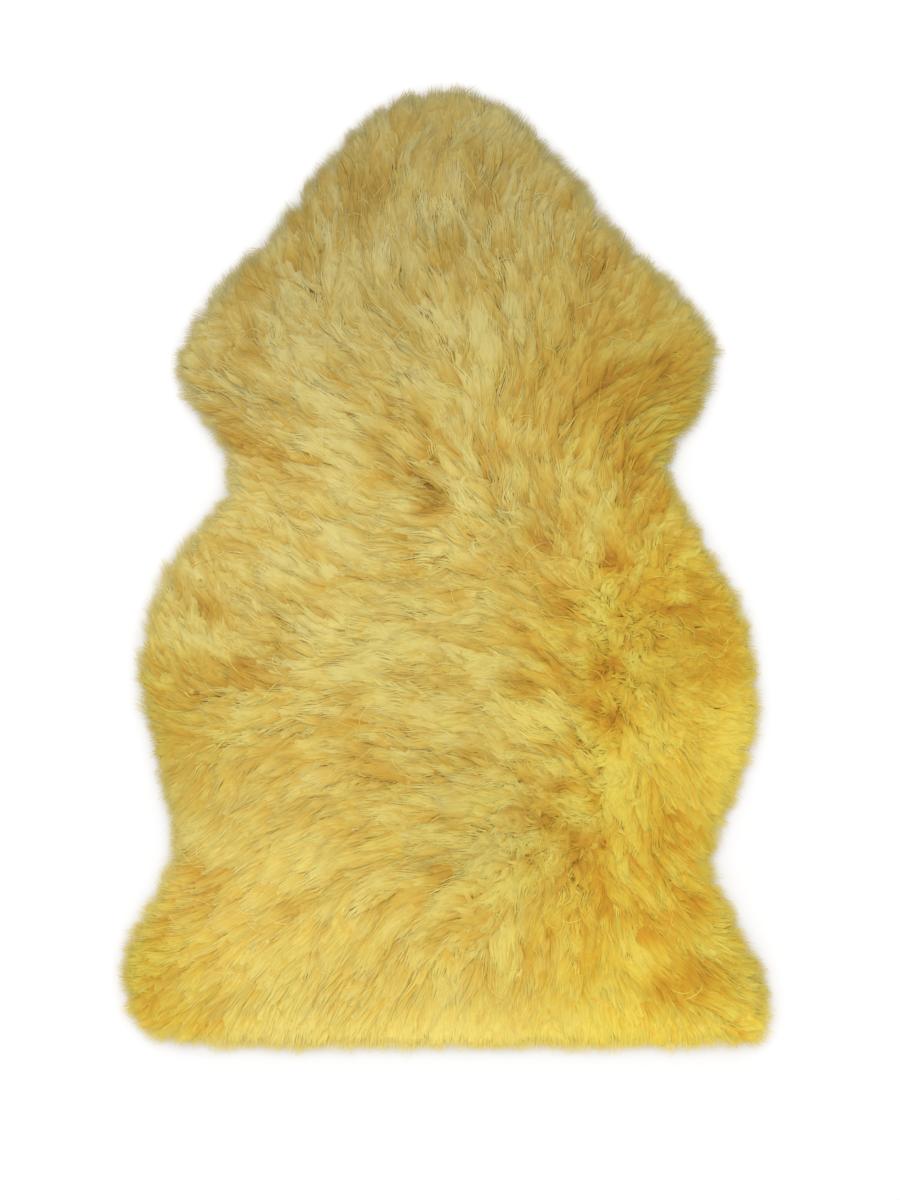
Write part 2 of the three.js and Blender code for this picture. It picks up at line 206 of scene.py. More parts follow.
def depth_inside(places, line):
    """How far inside a closed line each place lies, in mm, or less than zero outside it."""
    start, end = line, np.roll(line, -1, axis=0)
    way = end - start
    rise = np.where(way[:, 1] == 0, TINY, way[:, 1])
    depth = []
    for some in np.array_split(places[:, None], max(1, len(places) // PLACES_AT_ONCE)):
        share = np.clip(((some - start) * way).sum(2) / (way ** 2).sum(1), 0, 1)
        near = np.linalg.norm(start + share[..., None] * way - some, axis=2).min(1)
        passes = (start[:, 1] > some[..., 1]) != (end[:, 1] > some[..., 1])
        meets = start[:, 0] + (some[..., 1] - start[:, 1]) * way[:, 0] / rise
        inside = (passes & (some[..., 0] < meets)).sum(1) % 2 == 1
        depth.append(np.where(inside, near, -near))
    return np.concatenate(depth)


def blur(field, times):
    """A grid field with each place drawn towards its neighbours."""
    for _ in range(times):
        for axis in (0, 1):
            field = (np.roll(field, 1, axis) + 2 * field + np.roll(field, -1, axis)) / 4
    return field


def read_field(field, places):
    """A grid field's values at any places, blended from the four nearest."""
    at = (places + GRID_HALF) / GRID_STEP
    at = np.clip(at, 0, np.array(field.shape) - LAST_CELL)
    i, j = at.astype(int).T
    s, t = (at - at.astype(int)).T
    left = field[i, j] * (1 - t) + field[i, j + 1] * t
    right = field[i + 1, j] * (1 - t) + field[i + 1, j + 1] * t
    return left * (1 - s) + right * s


def along_lines(field, lines):
    """A grid field's values at each point of many lines."""
    return read_field(field, lines[..., :2].reshape(-1, 2)).reshape(lines.shape[:2])


def ramp(value, start, stop):
    """From 0 at start to 1 at stop, easing in and out."""
    share = np.clip((value - start) / (stop - start), 0, 1)
    return share * share * (3 - 2 * share)


def patches_at(places, patches):
    """The sum of round patches at each place. A patch is across, along, radius and strength."""
    gap = places[:, None] - (patches[:, :2] + TABLE_SHIFT)
    return np.exp(-(gap ** 2).sum(2) / patches[:, 2] ** 2) @ patches[:, 3]


print("places on the grid:", len(grid_places))

# %% Measure the pile
EYE_HEIGHT = 1  # m over the floor, from where the solid's top is read
OUTWARD_BLUR = 12  # passes over the grid, so that the way out turns gently around corners

solid = BVHTree.FromObject(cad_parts["sheepskin"], bpy.context.evaluated_depsgraph_get())
solid_height = np.zeros(len(grid_places))
for k, (x, y) in enumerate(grid_places * MM):
    hit = solid.ray_cast(Vector((x, y, EYE_HEIGHT)), Vector((0, 0, -1)))[0]
    solid_height[k] = hit.z / MM if hit else 0
solid_height = blur(solid_height.reshape(shape), 1)

edge_depth = depth_inside(grid_places, wool_edge).reshape(shape)
slope_share = np.clip(edge_depth / SLOPE_WIDTH, 0, 1)
slope = TIP_HEIGHT + (PILE_HEIGHT - TIP_HEIGHT) * (1 - (1 - slope_share) ** SLOPE_ROUNDNESS)
relief_share = ramp(edge_depth, RELIEF_FROM, RELIEF_FULL)
tuft_height = patches_at(grid_places, TUFTS).reshape(shape)
hollow_depth = patches_at(grid_places, HOLLOWS).reshape(shape) * slope / PILE_HEIGHT
pile_height = slope * (1 - relief_share) + solid_height * relief_share
pile_height += tuft_height - HOLLOW_SINK * hollow_depth
# painted highlight on the tufts, from 0 to 1
tuft_highlight = np.clip(tuft_height / FULL_TUFT, 0, 1)
# painted shade in the hollows, from 0 to 1
sunk = np.clip(hollow_depth / DEEP_HOLLOW, 0, 1)
outward = -np.stack(np.gradient(blur(edge_depth, OUTWARD_BLUR), GRID_STEP))
inner_height = pile_height[edge_depth > SLOPE_WIDTH].mean()
print("pile, mm:", pile_height.max().round(1), "highest,", inner_height.round(1), "mean")

# %% [markdown]
# ## The nap
#
# Wool keeps the direction in which it was last combed. Here it runs up and out over the neck, to the left
# across the body, down over the tail, and it parts along a wandering line on the right. Directions are
# noted at some sixty places, and any other place follows the readings around it. Close to the edge the wool
# also falls outwards. Where directions run apart, the wool stands more upright, so those partings are found
# as well.

# %% The nap
# across and along the rug in mm, and the heading in degrees from +X towards +Y
NAP_READINGS = np.array([
    (-6, 450, 80), (-100, 390, 108), (90, 400, 48), (-6, 340, 90), (-75, 300, 97),
    (25, 290, 120), (112, 295, 86), (181, 285, 54), (-183, 256, 122), (-45, 226, 134),
    (60, 226, 95), (195, 226, 45), (-242, 197, 160), (-173, 177, 145), (-85, 165, 150),
    (4, 157, 138), (53, 138, 75), (125, 145, 52), (240, 185, 20), (-193, 115, 168),
    (-90, 105, 157), (73, 69, 125), (120, 69, 92), (195, 65, 50), (-232, 39, 142),
    (-134, 25, 148), (-16, 20, 174), (83, 10, 155), (142, 25, 92), (240, 10, 25),
    (-275, -60, 106), (-160, -45, 148), (-6, -50, 178), (112, -60, 160), (240, -70, 335),
    (290, -90, 12), (-261, -118, 166), (-144, -130, 188), (-16, -148, 170), (112, -157, 152),
    (205, -190, 298), (289, -170, 352), (-242, -216, 230), (-150, -226, 208), (-20, -230, 180),
    (115, -235, 162), (-183, -295, 212), (-6, -285, 184), (102, -300, 250), (165, -290, 292),
    (240, -290, 318), (-285, -350, 165), (-212, -360, 216), (-60, -360, 236), (112, -375, 262),
    (210, -360, 316), (285, -380, 335), (-295, -415, 222), (-190, -430, 248), (20, -440, 265),
    (190, -440, 284),
], float)
NAP_BLEND = 52  # mm over which a reading's pull falls off
NAP_FAR_PULL = 1e-6  # the little that is left of it far away
FALL_WIDTH = 60  # mm in from the edge, where the wool starts to fall outwards
EDGE_FALL = 0.7  # how strongly it leans outwards at the edge itself
PARTING = (0.012, 0.035)  # how fast directions run apart, per mm, where a parting starts and is full
PARTING_BLUR = 4  # passes over the grid


def nap_at(places, fall=EDGE_FALL):
    """The heading of the wool at each place, in radians. fall is its lean outwards at the edge."""
    gap = places[:, None] - (NAP_READINGS[:, :2] + TABLE_SHIFT)
    pull = np.exp(-(gap ** 2).sum(2) / NAP_BLEND ** 2) + NAP_FAR_PULL
    heading = np.radians(NAP_READINGS[:, 2])
    lie = np.column_stack([pull @ np.cos(heading), pull @ np.sin(heading)])
    lie /= np.linalg.norm(lie, axis=1, keepdims=True)
    lean = fall * (1 - ramp(read_field(edge_depth, places), 0, FALL_WIDTH))
    out = np.column_stack([read_field(outward[k], places) for k in (0, 1)])
    return np.arctan2(*(lie + lean[:, None] * out).T[::-1])


nap_grid = nap_at(grid_places).reshape(shape)
apart_across = np.gradient(np.cos(nap_grid), GRID_STEP, axis=0)
apart_along = np.gradient(np.sin(nap_grid), GRID_STEP, axis=1)
parting = ramp(blur(apart_across + apart_along, PARTING_BLUR), *PARTING)
print("partings cover a share of", parting[edge_depth > 0].mean().round(3))

# %% [markdown]
# ## Dye and character of the wool
#
# The dye took unevenly: khaki straw over the neck, deeper gold towards the right flank and the tail. Some
# patches are curly, others are combed quite straight. Each of these is a short table of round patches that
# fade at their rim, so a patch can be moved or weakened by changing one row.

# %% Dye and character of the wool
# across and along the rug, radius in mm, and how much the patch adds
DYE_PATCHES = np.array([
    (270, -170, 110, 0.50), (210, -60, 110, 0.60), (190, 150, 110, 0.52), (240, -440, 110, 0.30),
    (-40, -460, 160, -0.05), (-290, -400, 70, 0.45), (180, -300, 110, 0.35), (-280, -140, 80, 0.45),
    (140, 60, 60, -0.12), (288, -25, 28, -0.40), (262, 35, 26, -0.30),
], float)
TONE_PATCHES = np.array([
    (-180, 250, 110, -0.05), (60, -260, 100, -0.10), (290, -410, 60, -0.14), (-290, -410, 60, -0.17),
    (200, -85, 70, -0.11), (-270, -150, 70, -0.12), (270, -170, 90, 0.09), (190, 150, 110, -0.10),
    (0, -60, 90, -0.04), (-150, -300, 110, 0.05), (-225, -30, 80, -0.03), (-150, -445, 70, -0.05),
    (120, -445, 80, -0.03),
], float)
# along the rug in mm, and how light the wool is there, from 0 to 1
TONE_ALONG = np.array([
    (-470, 0.71), (-400, 0.50), (-250, 0.40), (-50, 0.385), (100, 0.365), (280, 0.21), (420, 0.105),
])
# how much nearer to the colour of the tips the wool is: some rows are painted light on ridges and painted
# shade in bands and hollows below them, the rest paler or deeper wool
PALE_LIGHT_AND_SHADE_PATCHES = np.array([
    (268, -168, 50, 0.15), (-150, -445, 60, 0.24), (0, -450, 60, 0.20), (150, -450, 60, 0.18),
    (-135, -58, 22, 0.12), (-95, -58, 22, 0.15), (-55, -53, 22, 0.12), (90, 92, 35, 0.08),
    (262, 10, 28, 0.12), (290, -420, 50, 0.12), (0, 290, 80, 0.05), (205, -80, 75, -0.20),
    (155, 110, 75, -0.18), (170, -300, 80, -0.14), (175, 216, 80, -0.10), (-250, -170, 60, -0.08),
    (-238, -300, 26, -0.22), (-232, -250, 20, 0.15), (-208, -275, 24, 0.12), (-275, -400, 18, 0.12),
    (-95, 362, 30, -0.15), (38, 215, 28, 0.12), (30, 170, 28, 0.12), (112, 182, 32, -0.15),
    (175, 5, 24, -0.12), (285, -30, 24, 0.14), (208, -8, 26, -0.14), (145, 24, 22, -0.10),
    (112, 38, 20, -0.08),
], float)
CURLY_PATCHES = np.array([
    (205, -80, 62, 1.0), (135, -235, 52, 0.8), (75, 10, 46, 0.5), (-215, -78, 46, 0.5),
    (100, -262, 40, 0.5), (160, 20, 45, 0.4), (-100, 190, 50, 0.3),
], float)
STRAIGHT_PATCHES = np.array([
    (270, -190, 95, 0.9), (0, -470, 90, 0.9), (-180, -470, 90, 0.9), (200, -450, 90, 0.9),
    (0, 470, 110, 0.6), (-260, -170, 70, 0.5), (230, 220, 80, 0.5), (-170, -290, 110, 0.8),
    (-60, -410, 90, 0.6), (120, -420, 90, 0.4),
], float)
print("patches of dye:", len(DYE_PATCHES), "lightness:", len(TONE_PATCHES), "bleach:", len(PALE_LIGHT_AND_SHADE_PATCHES))

# %% Dye, lightness and streaks
DYE_MIDDLE = 0.36  # how deep the dye is in the middle of the rug
DYE_TOWARDS_TAIL = 0.30  # how much deeper at the tail than in the middle
DYE_TOWARDS_RIGHT = 0.12
TUFT_HIGHLIGHT_TONE = 0.06  # painted highlight: how much lighter a full tuft is
DYE_CLOUDS = 0.07  # how uneven the dye is from place to place
DYE_CLOUD = 45  # mm from cloud to cloud
STREAK_REACH = 16  # mm to each side over which the comb smears a streak
STREAK_SOFTNESS = (1, 6)  # passes over the grid that blur narrow and broad streaks
STREAK_SHARES = (0.9, 0.8)  # how strong the two kinds are
SOFT_WAVES = 14  # plane waves in a soft noise
WAVE_SPREAD = (0.7, 1.5)  # the shortest and the longest of them, as shares of the wavelength


def dye_at(places):
    """How deep the dye is at each place, from 0, khaki straw, to 1, bright gold."""
    share = places / (cad_high.xy / MM)
    even = DYE_MIDDLE - DYE_TOWARDS_TAIL * share[:, 1] + DYE_TOWARDS_RIGHT * share[:, 0]
    return np.clip(even + patches_at(places, DYE_PATCHES), 0, 1)


def tone_at(places):
    """How light the wool is at each place, from 0 to 1, with a painted highlight on tufts."""
    trend = np.interp(places[:, 1], *TONE_ALONG.T)
    return trend + patches_at(places, TONE_PATCHES) + TUFT_HIGHLIGHT_TONE * read_field(tuft_highlight, places)


def soft_noise(places, wavelength, seed):
    """Smooth noise of about -1 to 1: a few plane waves with random headings."""
    draw = np.random.default_rng(seed)
    heading = draw.uniform(0, 2 * np.pi, SOFT_WAVES)
    number = 2 * np.pi / (wavelength * draw.uniform(*WAVE_SPREAD, SOFT_WAVES))
    phase = draw.uniform(0, 2 * np.pi, SOFT_WAVES)
    turns = places @ np.stack([number * np.cos(heading), number * np.sin(heading)]) + phase
    return np.cos(turns).sum(1) / np.sqrt(SOFT_WAVES)


def combed(softness, seed):
    """Noise on the grid, smeared along the nap as a comb leaves it, of about -1 to 1."""
    noise = blur(np.random.default_rng(seed).standard_normal(shape), softness)
    total = noise.ravel()
    lie = (np.cos(nap_grid), np.sin(nap_grid))
    for step in (GRID_STEP, -GRID_STEP):
        places = grid_places
        for _ in range(STREAK_REACH // GRID_STEP):
            along = np.column_stack([read_field(part, places) for part in lie])
            places = places + step * along
            total = total + read_field(noise, places)
    return (total / total.std()).reshape(shape)


streaks = sum(
    share * combed(softness, seed=softness) for share, softness in zip(STREAK_SHARES, STREAK_SOFTNESS)
)
print("streaks from", streaks.min().round(1), "to", streaks.max().round(1))
print("dye at neck, middle and tail:", dye_at(np.array([(0, 400), (0, 0), (0, -400)])).round(2))

# %% [markdown]
# ## A small helper for node trees
#
# Materials and Geometry Nodes are both trees of nodes. One helper adds a node, sets its properties, and
# fills its inputs with plain values or with links from other nodes.

# %% A small helper for node trees
def add_node(tree, kind, wires=(), stops=(), **settings):
    """Adds a node to a tree and sets its properties.

    wires fill its inputs, in order or by name, with plain values or with links from other nodes.
    stops are the positions and sRGB hex colours of a colour ramp.
    """
    made = tree.nodes.new(kind)
    for name, value in settings.items():
        setattr(made, name, value)
    if stops:
        elements = made.color_ramp.elements
        while len(elements) < len(stops):
            elements.new(1)
        for element, (position, hex_colour) in zip(elements, stops):
            element.position = position
            element.color = linear(hex_colour)
    active = [socket for socket in made.inputs if socket.enabled]
    for key, value in wires.items() if isinstance(wires, dict) else enumerate(wires):
        socket = active[key] if isinstance(key, int) else next(s for s in active if s.name == key)
        if isinstance(value, bpy.types.Node):
            value = next(s for s in value.outputs if s.enabled)
        if isinstance(value, bpy.types.NodeSocket):
            tree.links.new(value, socket)
        else:
            socket.default_value = value
    return made


def linear(hex_colour):
    """An sRGB hex colour as linear RGBA."""
    parts = [int(hex_colour[k:k + 2], 16) / 255 for k in (1, 3, 5)]
    return [c / 12.92 if c <= 0.04045 else ((c + 0.055) / 1.055) ** 2.4 for c in parts] + [1]


def new_material(name):
    """An empty node material and its output node."""
    material = bpy.data.materials.new(name)
    material.use_nodes = True
    material.node_tree.nodes.clear()
    return material, material.node_tree, add_node(material.node_tree, "ShaderNodeOutputMaterial")


print("helper ready; mid gold in linear light:", [round(c, 3) for c in linear("#cfb257")])

# %% [markdown]
# ## Dyed wool
#
# Sheep's wool is a pale, slightly glossy fibre. Dyed yellow it is amber near the roots, where little light
# reaches and fibres lie thick, gold along its length, and bleached to pale straw at the tips. Each fibre
# carries a coordinate: how far along it we are, slid towards the roots' amber for painted shade in hollows
# and towards the tips' straw for painted light on crests and tufts, and a code for its dye and its own
# lightness. The colour follows from that coordinate alone, so a baked picture of it stays tiny and exact.

# %% Dyed wool
SHADES = 32  # steps of lightness between single fibres
DYE_SPAN = (0.1, 0.8)  # where a shade's strip of the coordinate starts to hold the dye, and how wide it is
LEVELS = (0.50, 1.50)  # brightness of the darkest and the lightest shade
STRAW = [(0, "#b48228"), (0.2, "#c99e3c"), (0.42, "#d2ae4a"), (0.75, "#dcc16b"), (1, "#e6d68e")]
GOLD = [(0, "#bf8212"), (0.2, "#d2951a"), (0.42, "#daa11a"), (0.75, "#e6c136"), (1, "#eed856")]

wool, tree, output = new_material("dyed_sheep_wool")
coordinate = add_node(tree, "ShaderNodeAttribute", attribute_name="fibre_coordinate")
split = add_node(tree, "ShaderNodeSeparateXYZ", {0: coordinate.outputs["Vector"]})
strips = add_node(tree, "ShaderNodeMath", {0: split.outputs["X"], 1: SHADES}, operation="MULTIPLY")
strip = add_node(tree, "ShaderNodeMath", {0: strips}, operation="FLOOR")
lightness = add_node(tree, "ShaderNodeMath", {0: strip, 1: SHADES - 1}, operation="DIVIDE")
in_strip = add_node(tree, "ShaderNodeMath", {0: strips}, operation="FRACT")
dye = add_node(tree, "ShaderNodeMapRange", {
    "Value": in_strip, "From Min": DYE_SPAN[0], "From Max": sum(DYE_SPAN),
})
along = split.outputs["Y"]
straw = add_node(tree, "ShaderNodeValToRGB", {"Fac": along}, stops=STRAW)
gold = add_node(tree, "ShaderNodeValToRGB", {"Fac": along}, stops=GOLD)
dyed = add_node(tree, "ShaderNodeMix", {"Factor": dye, "A": straw, "B": gold}, data_type="RGBA")
level = add_node(tree, "ShaderNodeMapRange", {"Value": lightness, "To Min": LEVELS[0], "To Max": LEVELS[1]})
tone = add_node(tree, "ShaderNodeHueSaturation", {"Color": dyed, "Value": level})
shader = add_node(tree, "ShaderNodeBsdfPrincipled", {
    "Base Color": tone, "Roughness": 0.6, "IOR": 1.5, "Specular IOR Level": 0.25,
    "Sheen Weight": 0.15, "Sheen Roughness": 0.4,
})
shader.inputs["Sheen Tint"].default_value = linear("#f4e6b4")
tree.links.new(shader.outputs[0], output.inputs["Surface"])
print("material:", wool.name)

# %% [markdown]
# ## The hide
#
# Under the wool lies the tanned hide, about three millimetres of soft suede. Its cut edge stays hidden, a
# few centimetres inside the tips of the wool. It is a closed sheet: rings of points run from its edge to
# the line of the backbone, once for the wool side and once for the flesh side.

# %% The hide
HIDE_INSET = 30  # mm from the tips of the wool to the hide's cut edge
HIDE_THICKNESS = 3
EDGE_SPAN = 8  # places to each side over which the edge's direction is taken, so that corners fan out
SPINE_ENDS = (330, -330)  # mm along the rug, where the rings end up
SPINE_REACH = 0.96  # how much of the way there they go, so that they don't close up
SPINE_EVEN = 0.4  # how evenly they end along it, the rest follows the level of the edge
HIDE_RINGS = 7
FLOOR_GAP = 0.3  # mm


def inset_line(line, inset):
    """A closed line moved inwards, with its corners rounded off."""
    before = np.roll(line, EDGE_SPAN, axis=0)
    after = np.roll(line, -EDGE_SPAN, axis=0)
    way = after - before
    out = np.column_stack([way[:, 1], -way[:, 0]])
    return line - inset * out / np.linalg.norm(out, axis=1, keepdims=True)


def rings_inward(line, shares):
    """Rings of places from a closed line towards the backbone, one for each share of the way."""
    top, bottom = line[:, 1].max(), line[:, 1].min()
    half = len(line) // 2
    evenly_down = np.abs(np.arange(len(line)) - half) / half
    level = (line[:, 1] - bottom) / (top - bottom)
    upward = SPINE_EVEN * evenly_down + (1 - SPINE_EVEN) * level
    down = SPINE_ENDS[1] + (SPINE_ENDS[0] - SPINE_ENDS[1]) * upward
    spine = np.column_stack([np.zeros(len(line)), down])
    return [line + SPINE_REACH * share * (spine - line) for share in shares]


def closed_shell(name, rings, top, bottom):
    """A closed mesh between two heights over the same rings of places, given in mm."""
    count = len(rings[0])
    places = np.vstack(rings)
    low = np.column_stack([places, np.broadcast_to(bottom, len(places))])
    high = np.column_stack([places, np.broadcast_to(top, len(places))])
    total = len(places)
    faces = []
    for k in range(count):
        n = (k + 1) % count
        faces.append((k, n, total + n, total + k))
        for ring in range(len(rings) - 1):
            a, b = ring * count, (ring + 1) * count
            faces.append((total + a + k, total + a + n, total + b + n, total + b + k))
            faces.append((a + n, a + k, b + k, b + n))
    inner = (len(rings) - 1) * count
    for k in range(count // 2):
        near, far = inner + (count - k) % count, inner + count - k - 1
        corners = [inner + k, inner + k + 1, far, near]
        corners = list(dict.fromkeys(corners))
        faces.append([total + c for c in corners])
        faces.append(corners[::-1])
    mesh = bpy.data.meshes.new(name)
    mesh.from_pydata(np.vstack([low, high]) * MM, [], faces)
    mesh.shade_smooth()
    piece = bpy.data.objects.new(name, mesh)
    bpy.context.scene.collection.objects.link(piece)
    return piece


hide_edge = inset_line(wool_edge, HIDE_INSET)
hide_rings = rings_inward(hide_edge, np.linspace(0, 1, HIDE_RINGS))
hide_top = FLOOR_GAP + HIDE_THICKNESS
hide = closed_shell("hide", hide_rings, hide_top, FLOOR_GAP)

# %% [markdown]
# ## Underwool
#
# Between the long fibres grows short dense wool, which stops the eye before it reaches the hide. Growing it
# fibre by fibre would cost as much as the long wool and hardly show, so it is a soft closed mound just
# below the lowest wool around, and level with it where the wool parts. Its mesh carries the depth and the
# lightness of the dye, so that its colour changes with the wool above it.

# %% Underwool
UNDERWOOL_DEPTH = 1.2  # mm below the lowest wool around, and none where the wool parts
UNDERWOOL_INSET = 13  # mm in from the tips of the wool
UNDERWOOL_FULL = 30  # mm in from the tips, where the underwool has its full height
UNDERWOOL_LUMPS = 0.5  # mm, the height of its lumps
UNDERWOOL_LUMP = 14  # mm from lump to lump
UNDERWOOL_LEAST = 1  # mm over the hide
UNDERWOOL_BLUR = 2  # passes over the grid
UNDERWOOL_RINGS = 32
UNDERWOOL_CROWDING = 1.3  # above 1, the rings lie closer together near the edge
UNDERWOOL_LIGHT = 0.1  # painted light: how much lighter it is coloured than the wool above it, to make up for the shade that wool casts on it
UNDERWOOL_HOLLOWS = 8  # mm around a place, within which the lowest wool sets the height

lowest = pile_height
for _ in range(UNDERWOOL_HOLLOWS // GRID_STEP):
    for axis in (0, 1):
        lowest = np.minimum(lowest, np.minimum(np.roll(lowest, 1, axis), np.roll(lowest, -1, axis)))
below_wool = blur(lowest, UNDERWOOL_BLUR) - UNDERWOOL_DEPTH * (1 - parting)
cover = below_wool * ramp(edge_depth, 0, UNDERWOOL_FULL)
underwool_edge = inset_line(evenly(wool_edge, EDGE_PLACES // 2), UNDERWOOL_INSET)
ring_shares = np.linspace(0, 1, UNDERWOOL_RINGS) ** UNDERWOOL_CROWDING
underwool_rings = rings_inward(underwool_edge, ring_shares)
underwool_places = np.vstack(underwool_rings)
lumps = UNDERWOOL_LUMPS * soft_noise(underwool_places, UNDERWOOL_LUMP, seed=3)
mound = np.maximum(read_field(cover, underwool_places) + lumps, hide_top + UNDERWOOL_LEAST)
underwool = closed_shell("underwool", underwool_rings, mound, hide_top)
underwool_looks = {"dye": dye_at(underwool_places), "tone": tone_at(underwool_places) + UNDERWOOL_LIGHT}
for name, values in underwool_looks.items():
    layer = underwool.data.attributes.new(name, "FLOAT", "POINT")
    layer.data.foreach_set("value", np.tile(values, 2).astype(np.float32))
print("underwool faces:", len(underwool.data.polygons))

# %% [markdown]
# ## Locks
#
# Wool grows in locks of a dozen or more fibres that cling together and end in a point. A particle system
# could scatter them, but here every lock has to follow the nap, curl in some places and stop at the edge of
# the rug. So each lock is combed in small steps: it leaves its root steeply, bends over to the top of the
# pile, and sways a little from side to side on the way. There are four kinds: low ones that fill, broad
# wisps that lie on top and give the rug its look, crimped curls where the wool is curly or parts, and fine
# ones around the rim.

# %% Kinds of locks
# length and its spread in mm, turns and sway in degrees, least and most share of the pile's height,
# least and most lean outwards at the edge, and mm short of the edge
FILLING = {
    "reach": 42, "spread": 8, "own_turn": 10, "sway": 12,
    "layers": (0.975, 0.987), "fall": (0.6, 0.8), "short": 8,
}
WISPS = {
    "reach": 72, "spread": 12, "own_turn": 5, "sway": 18,
    "layers": (0.992, 1.0), "fall": (0.6, 0.8), "short": 4,
}
CURLS = {
    "reach": 48, "spread": 8, "own_turn": 20, "sway": 26,
    "layers": (0.985, 1.01), "fall": (0.6, 0.8), "short": 4,
}
RIM = {
    "reach": 48, "spread": 10, "own_turn": 14, "sway": 14,
    "layers": (0.6, 1.0), "fall": (0.8, 2.2), "short": -3,
}
FILLING_SPACING = 10  # mm from lock to lock
WISP_SPACING = 11.6
FILLING_BACK = 12  # mm from the middle of what shows of a lock back to its root
WISP_BACK = 16
CURL_SPACING = 6.2  # only where the wool is curly or parts
CURL_FROM = 0.35  # how curly or parted that is
RIM_SPACING = 5  # mm between the roots on the hide's edge
RIM_ROWS = (1, 5)  # mm in from the hide's edge
print("longest locks, mm:", max(kind["reach"] for kind in (FILLING, WISPS, CURLS, RIM)))

# %% Roots and ends of locks
ROW_SPACING = np.sqrt(0.75)  # of a lattice of equal triangles whose sides are 1
ROOT_JITTER = 0.3  # how far a root may be off its place, as a share of the spacing
LEAST_DROP = 1e-6  # mm, stands in for zero where a lock runs level with the edge

draw = np.random.default_rng(11)


def scatter(spacing, back=0):
    """Roots of locks spread evenly over the wool: a lattice of places, each a little off, traced back."""
    ys = np.arange(-GRID_HALF[1], GRID_HALF[1], spacing * ROW_SPACING)
    xs = np.arange(-GRID_HALF[0], GRID_HALF[0], spacing)
    lattice = np.stack(np.meshgrid(xs, ys), axis=-1)
    lattice[1::2, :, 0] += spacing / 2
    roots = lattice.reshape(-1, 2)
    roots = roots + draw.uniform(-ROOT_JITTER, ROOT_JITTER, roots.shape) * spacing
    roots = roots[read_field(edge_depth, roots) > 0]
    for _ in range(round(back / GRID_STEP)):
        heading = nap_at(roots)
        roots = roots - GRID_STEP * np.column_stack([np.cos(heading), np.sin(heading)])
    return roots[depth_inside(roots, hide_edge) > 0]


def cut_at_edge(paths, fuzz):
    """Paths squeezed back along themselves so that their tips end at the wool's edge."""
    count, steps = paths.shape[:2]
    depth = along_lines(edge_depth, paths)
    beyond = depth < fuzz[:, None]
    first = np.where(beyond.any(1), beyond.argmax(1), steps)
    rows = np.arange(count)
    inner = np.clip(first - 1, 0, steps - 1)
    outer = np.clip(first, 0, steps - 1)
    drop = np.maximum(depth[rows, inner] - depth[rows, outer], LEAST_DROP)
    part = np.clip((depth[rows, inner] - fuzz) / drop, 0, 1)
    kept = np.where(first < steps, (inner + part) / (steps - 1), 1)
    at = kept[:, None] * np.arange(steps)
    low = np.minimum(at.astype(int), steps - 2)
    share = (at - low)[..., None]
    return paths[rows[:, None], low] * (1 - share) + paths[rows[:, None], low + 1] * share


print("rows of wisps down the rug:", int(np.ptp(wool_edge[:, 1]) / (WISP_SPACING * ROW_SPACING)))

# %% Comb the locks
LOCK_POINTS = 12  # places along a lock
EVEN_STEPS = 0.3  # how evenly they are spaced along a lock, the rest crowds them to its root
SPREAD_LIMIT = 2  # times its spread is the most that a length is off
STRAIGHT_CALM = 0.7  # how much less locks turn and sway where the wool is combed straight
CURLY_SHORT = 0.3  # how much shorter they are where it is curly
PARTED_SHORT = 0.35  # and where it parts
TURN = np.radians(12)  # how far bunches of locks turn from the nap
TURN_LENGTH = 40  # mm from bunch to bunch
SWAY_LENGTH = 62  # mm from bend to bend and back
SWAY_CURLY = np.radians(55)
SWAY_LENGTH_CURLY = 26
SWAY_SPREAD = (0.5, 1.5)  # the least and the most that single locks sway, as shares
PHASE_LENGTH = 55  # mm over which neighbouring locks sway alike
PHASE_SPREAD = 0.4  # radians by which each still sways on its own
PARTING_MESS = 2  # how many times more single locks turn away where the wool parts
RISE_POWER = 6  # how steeply a lock leaves its root
RISE_PARTED = 2  # how much steeper where the wool parts
TIP_LIFT = 0.1  # mm by which tips stand higher or lower than the rest
EDGE_FUZZ = 3  # mm, how unevenly the tips end at the edge
EDGE_FUZZ_LIMIT = 6
LEAST_HEIGHT = 0.8  # mm over the floor
COVER_MARGIN = 4  # mm below the underwool, where fibres may start
HIDDEN_LIMIT = 0.6  # the largest share of a lock that is left out because it is hidden


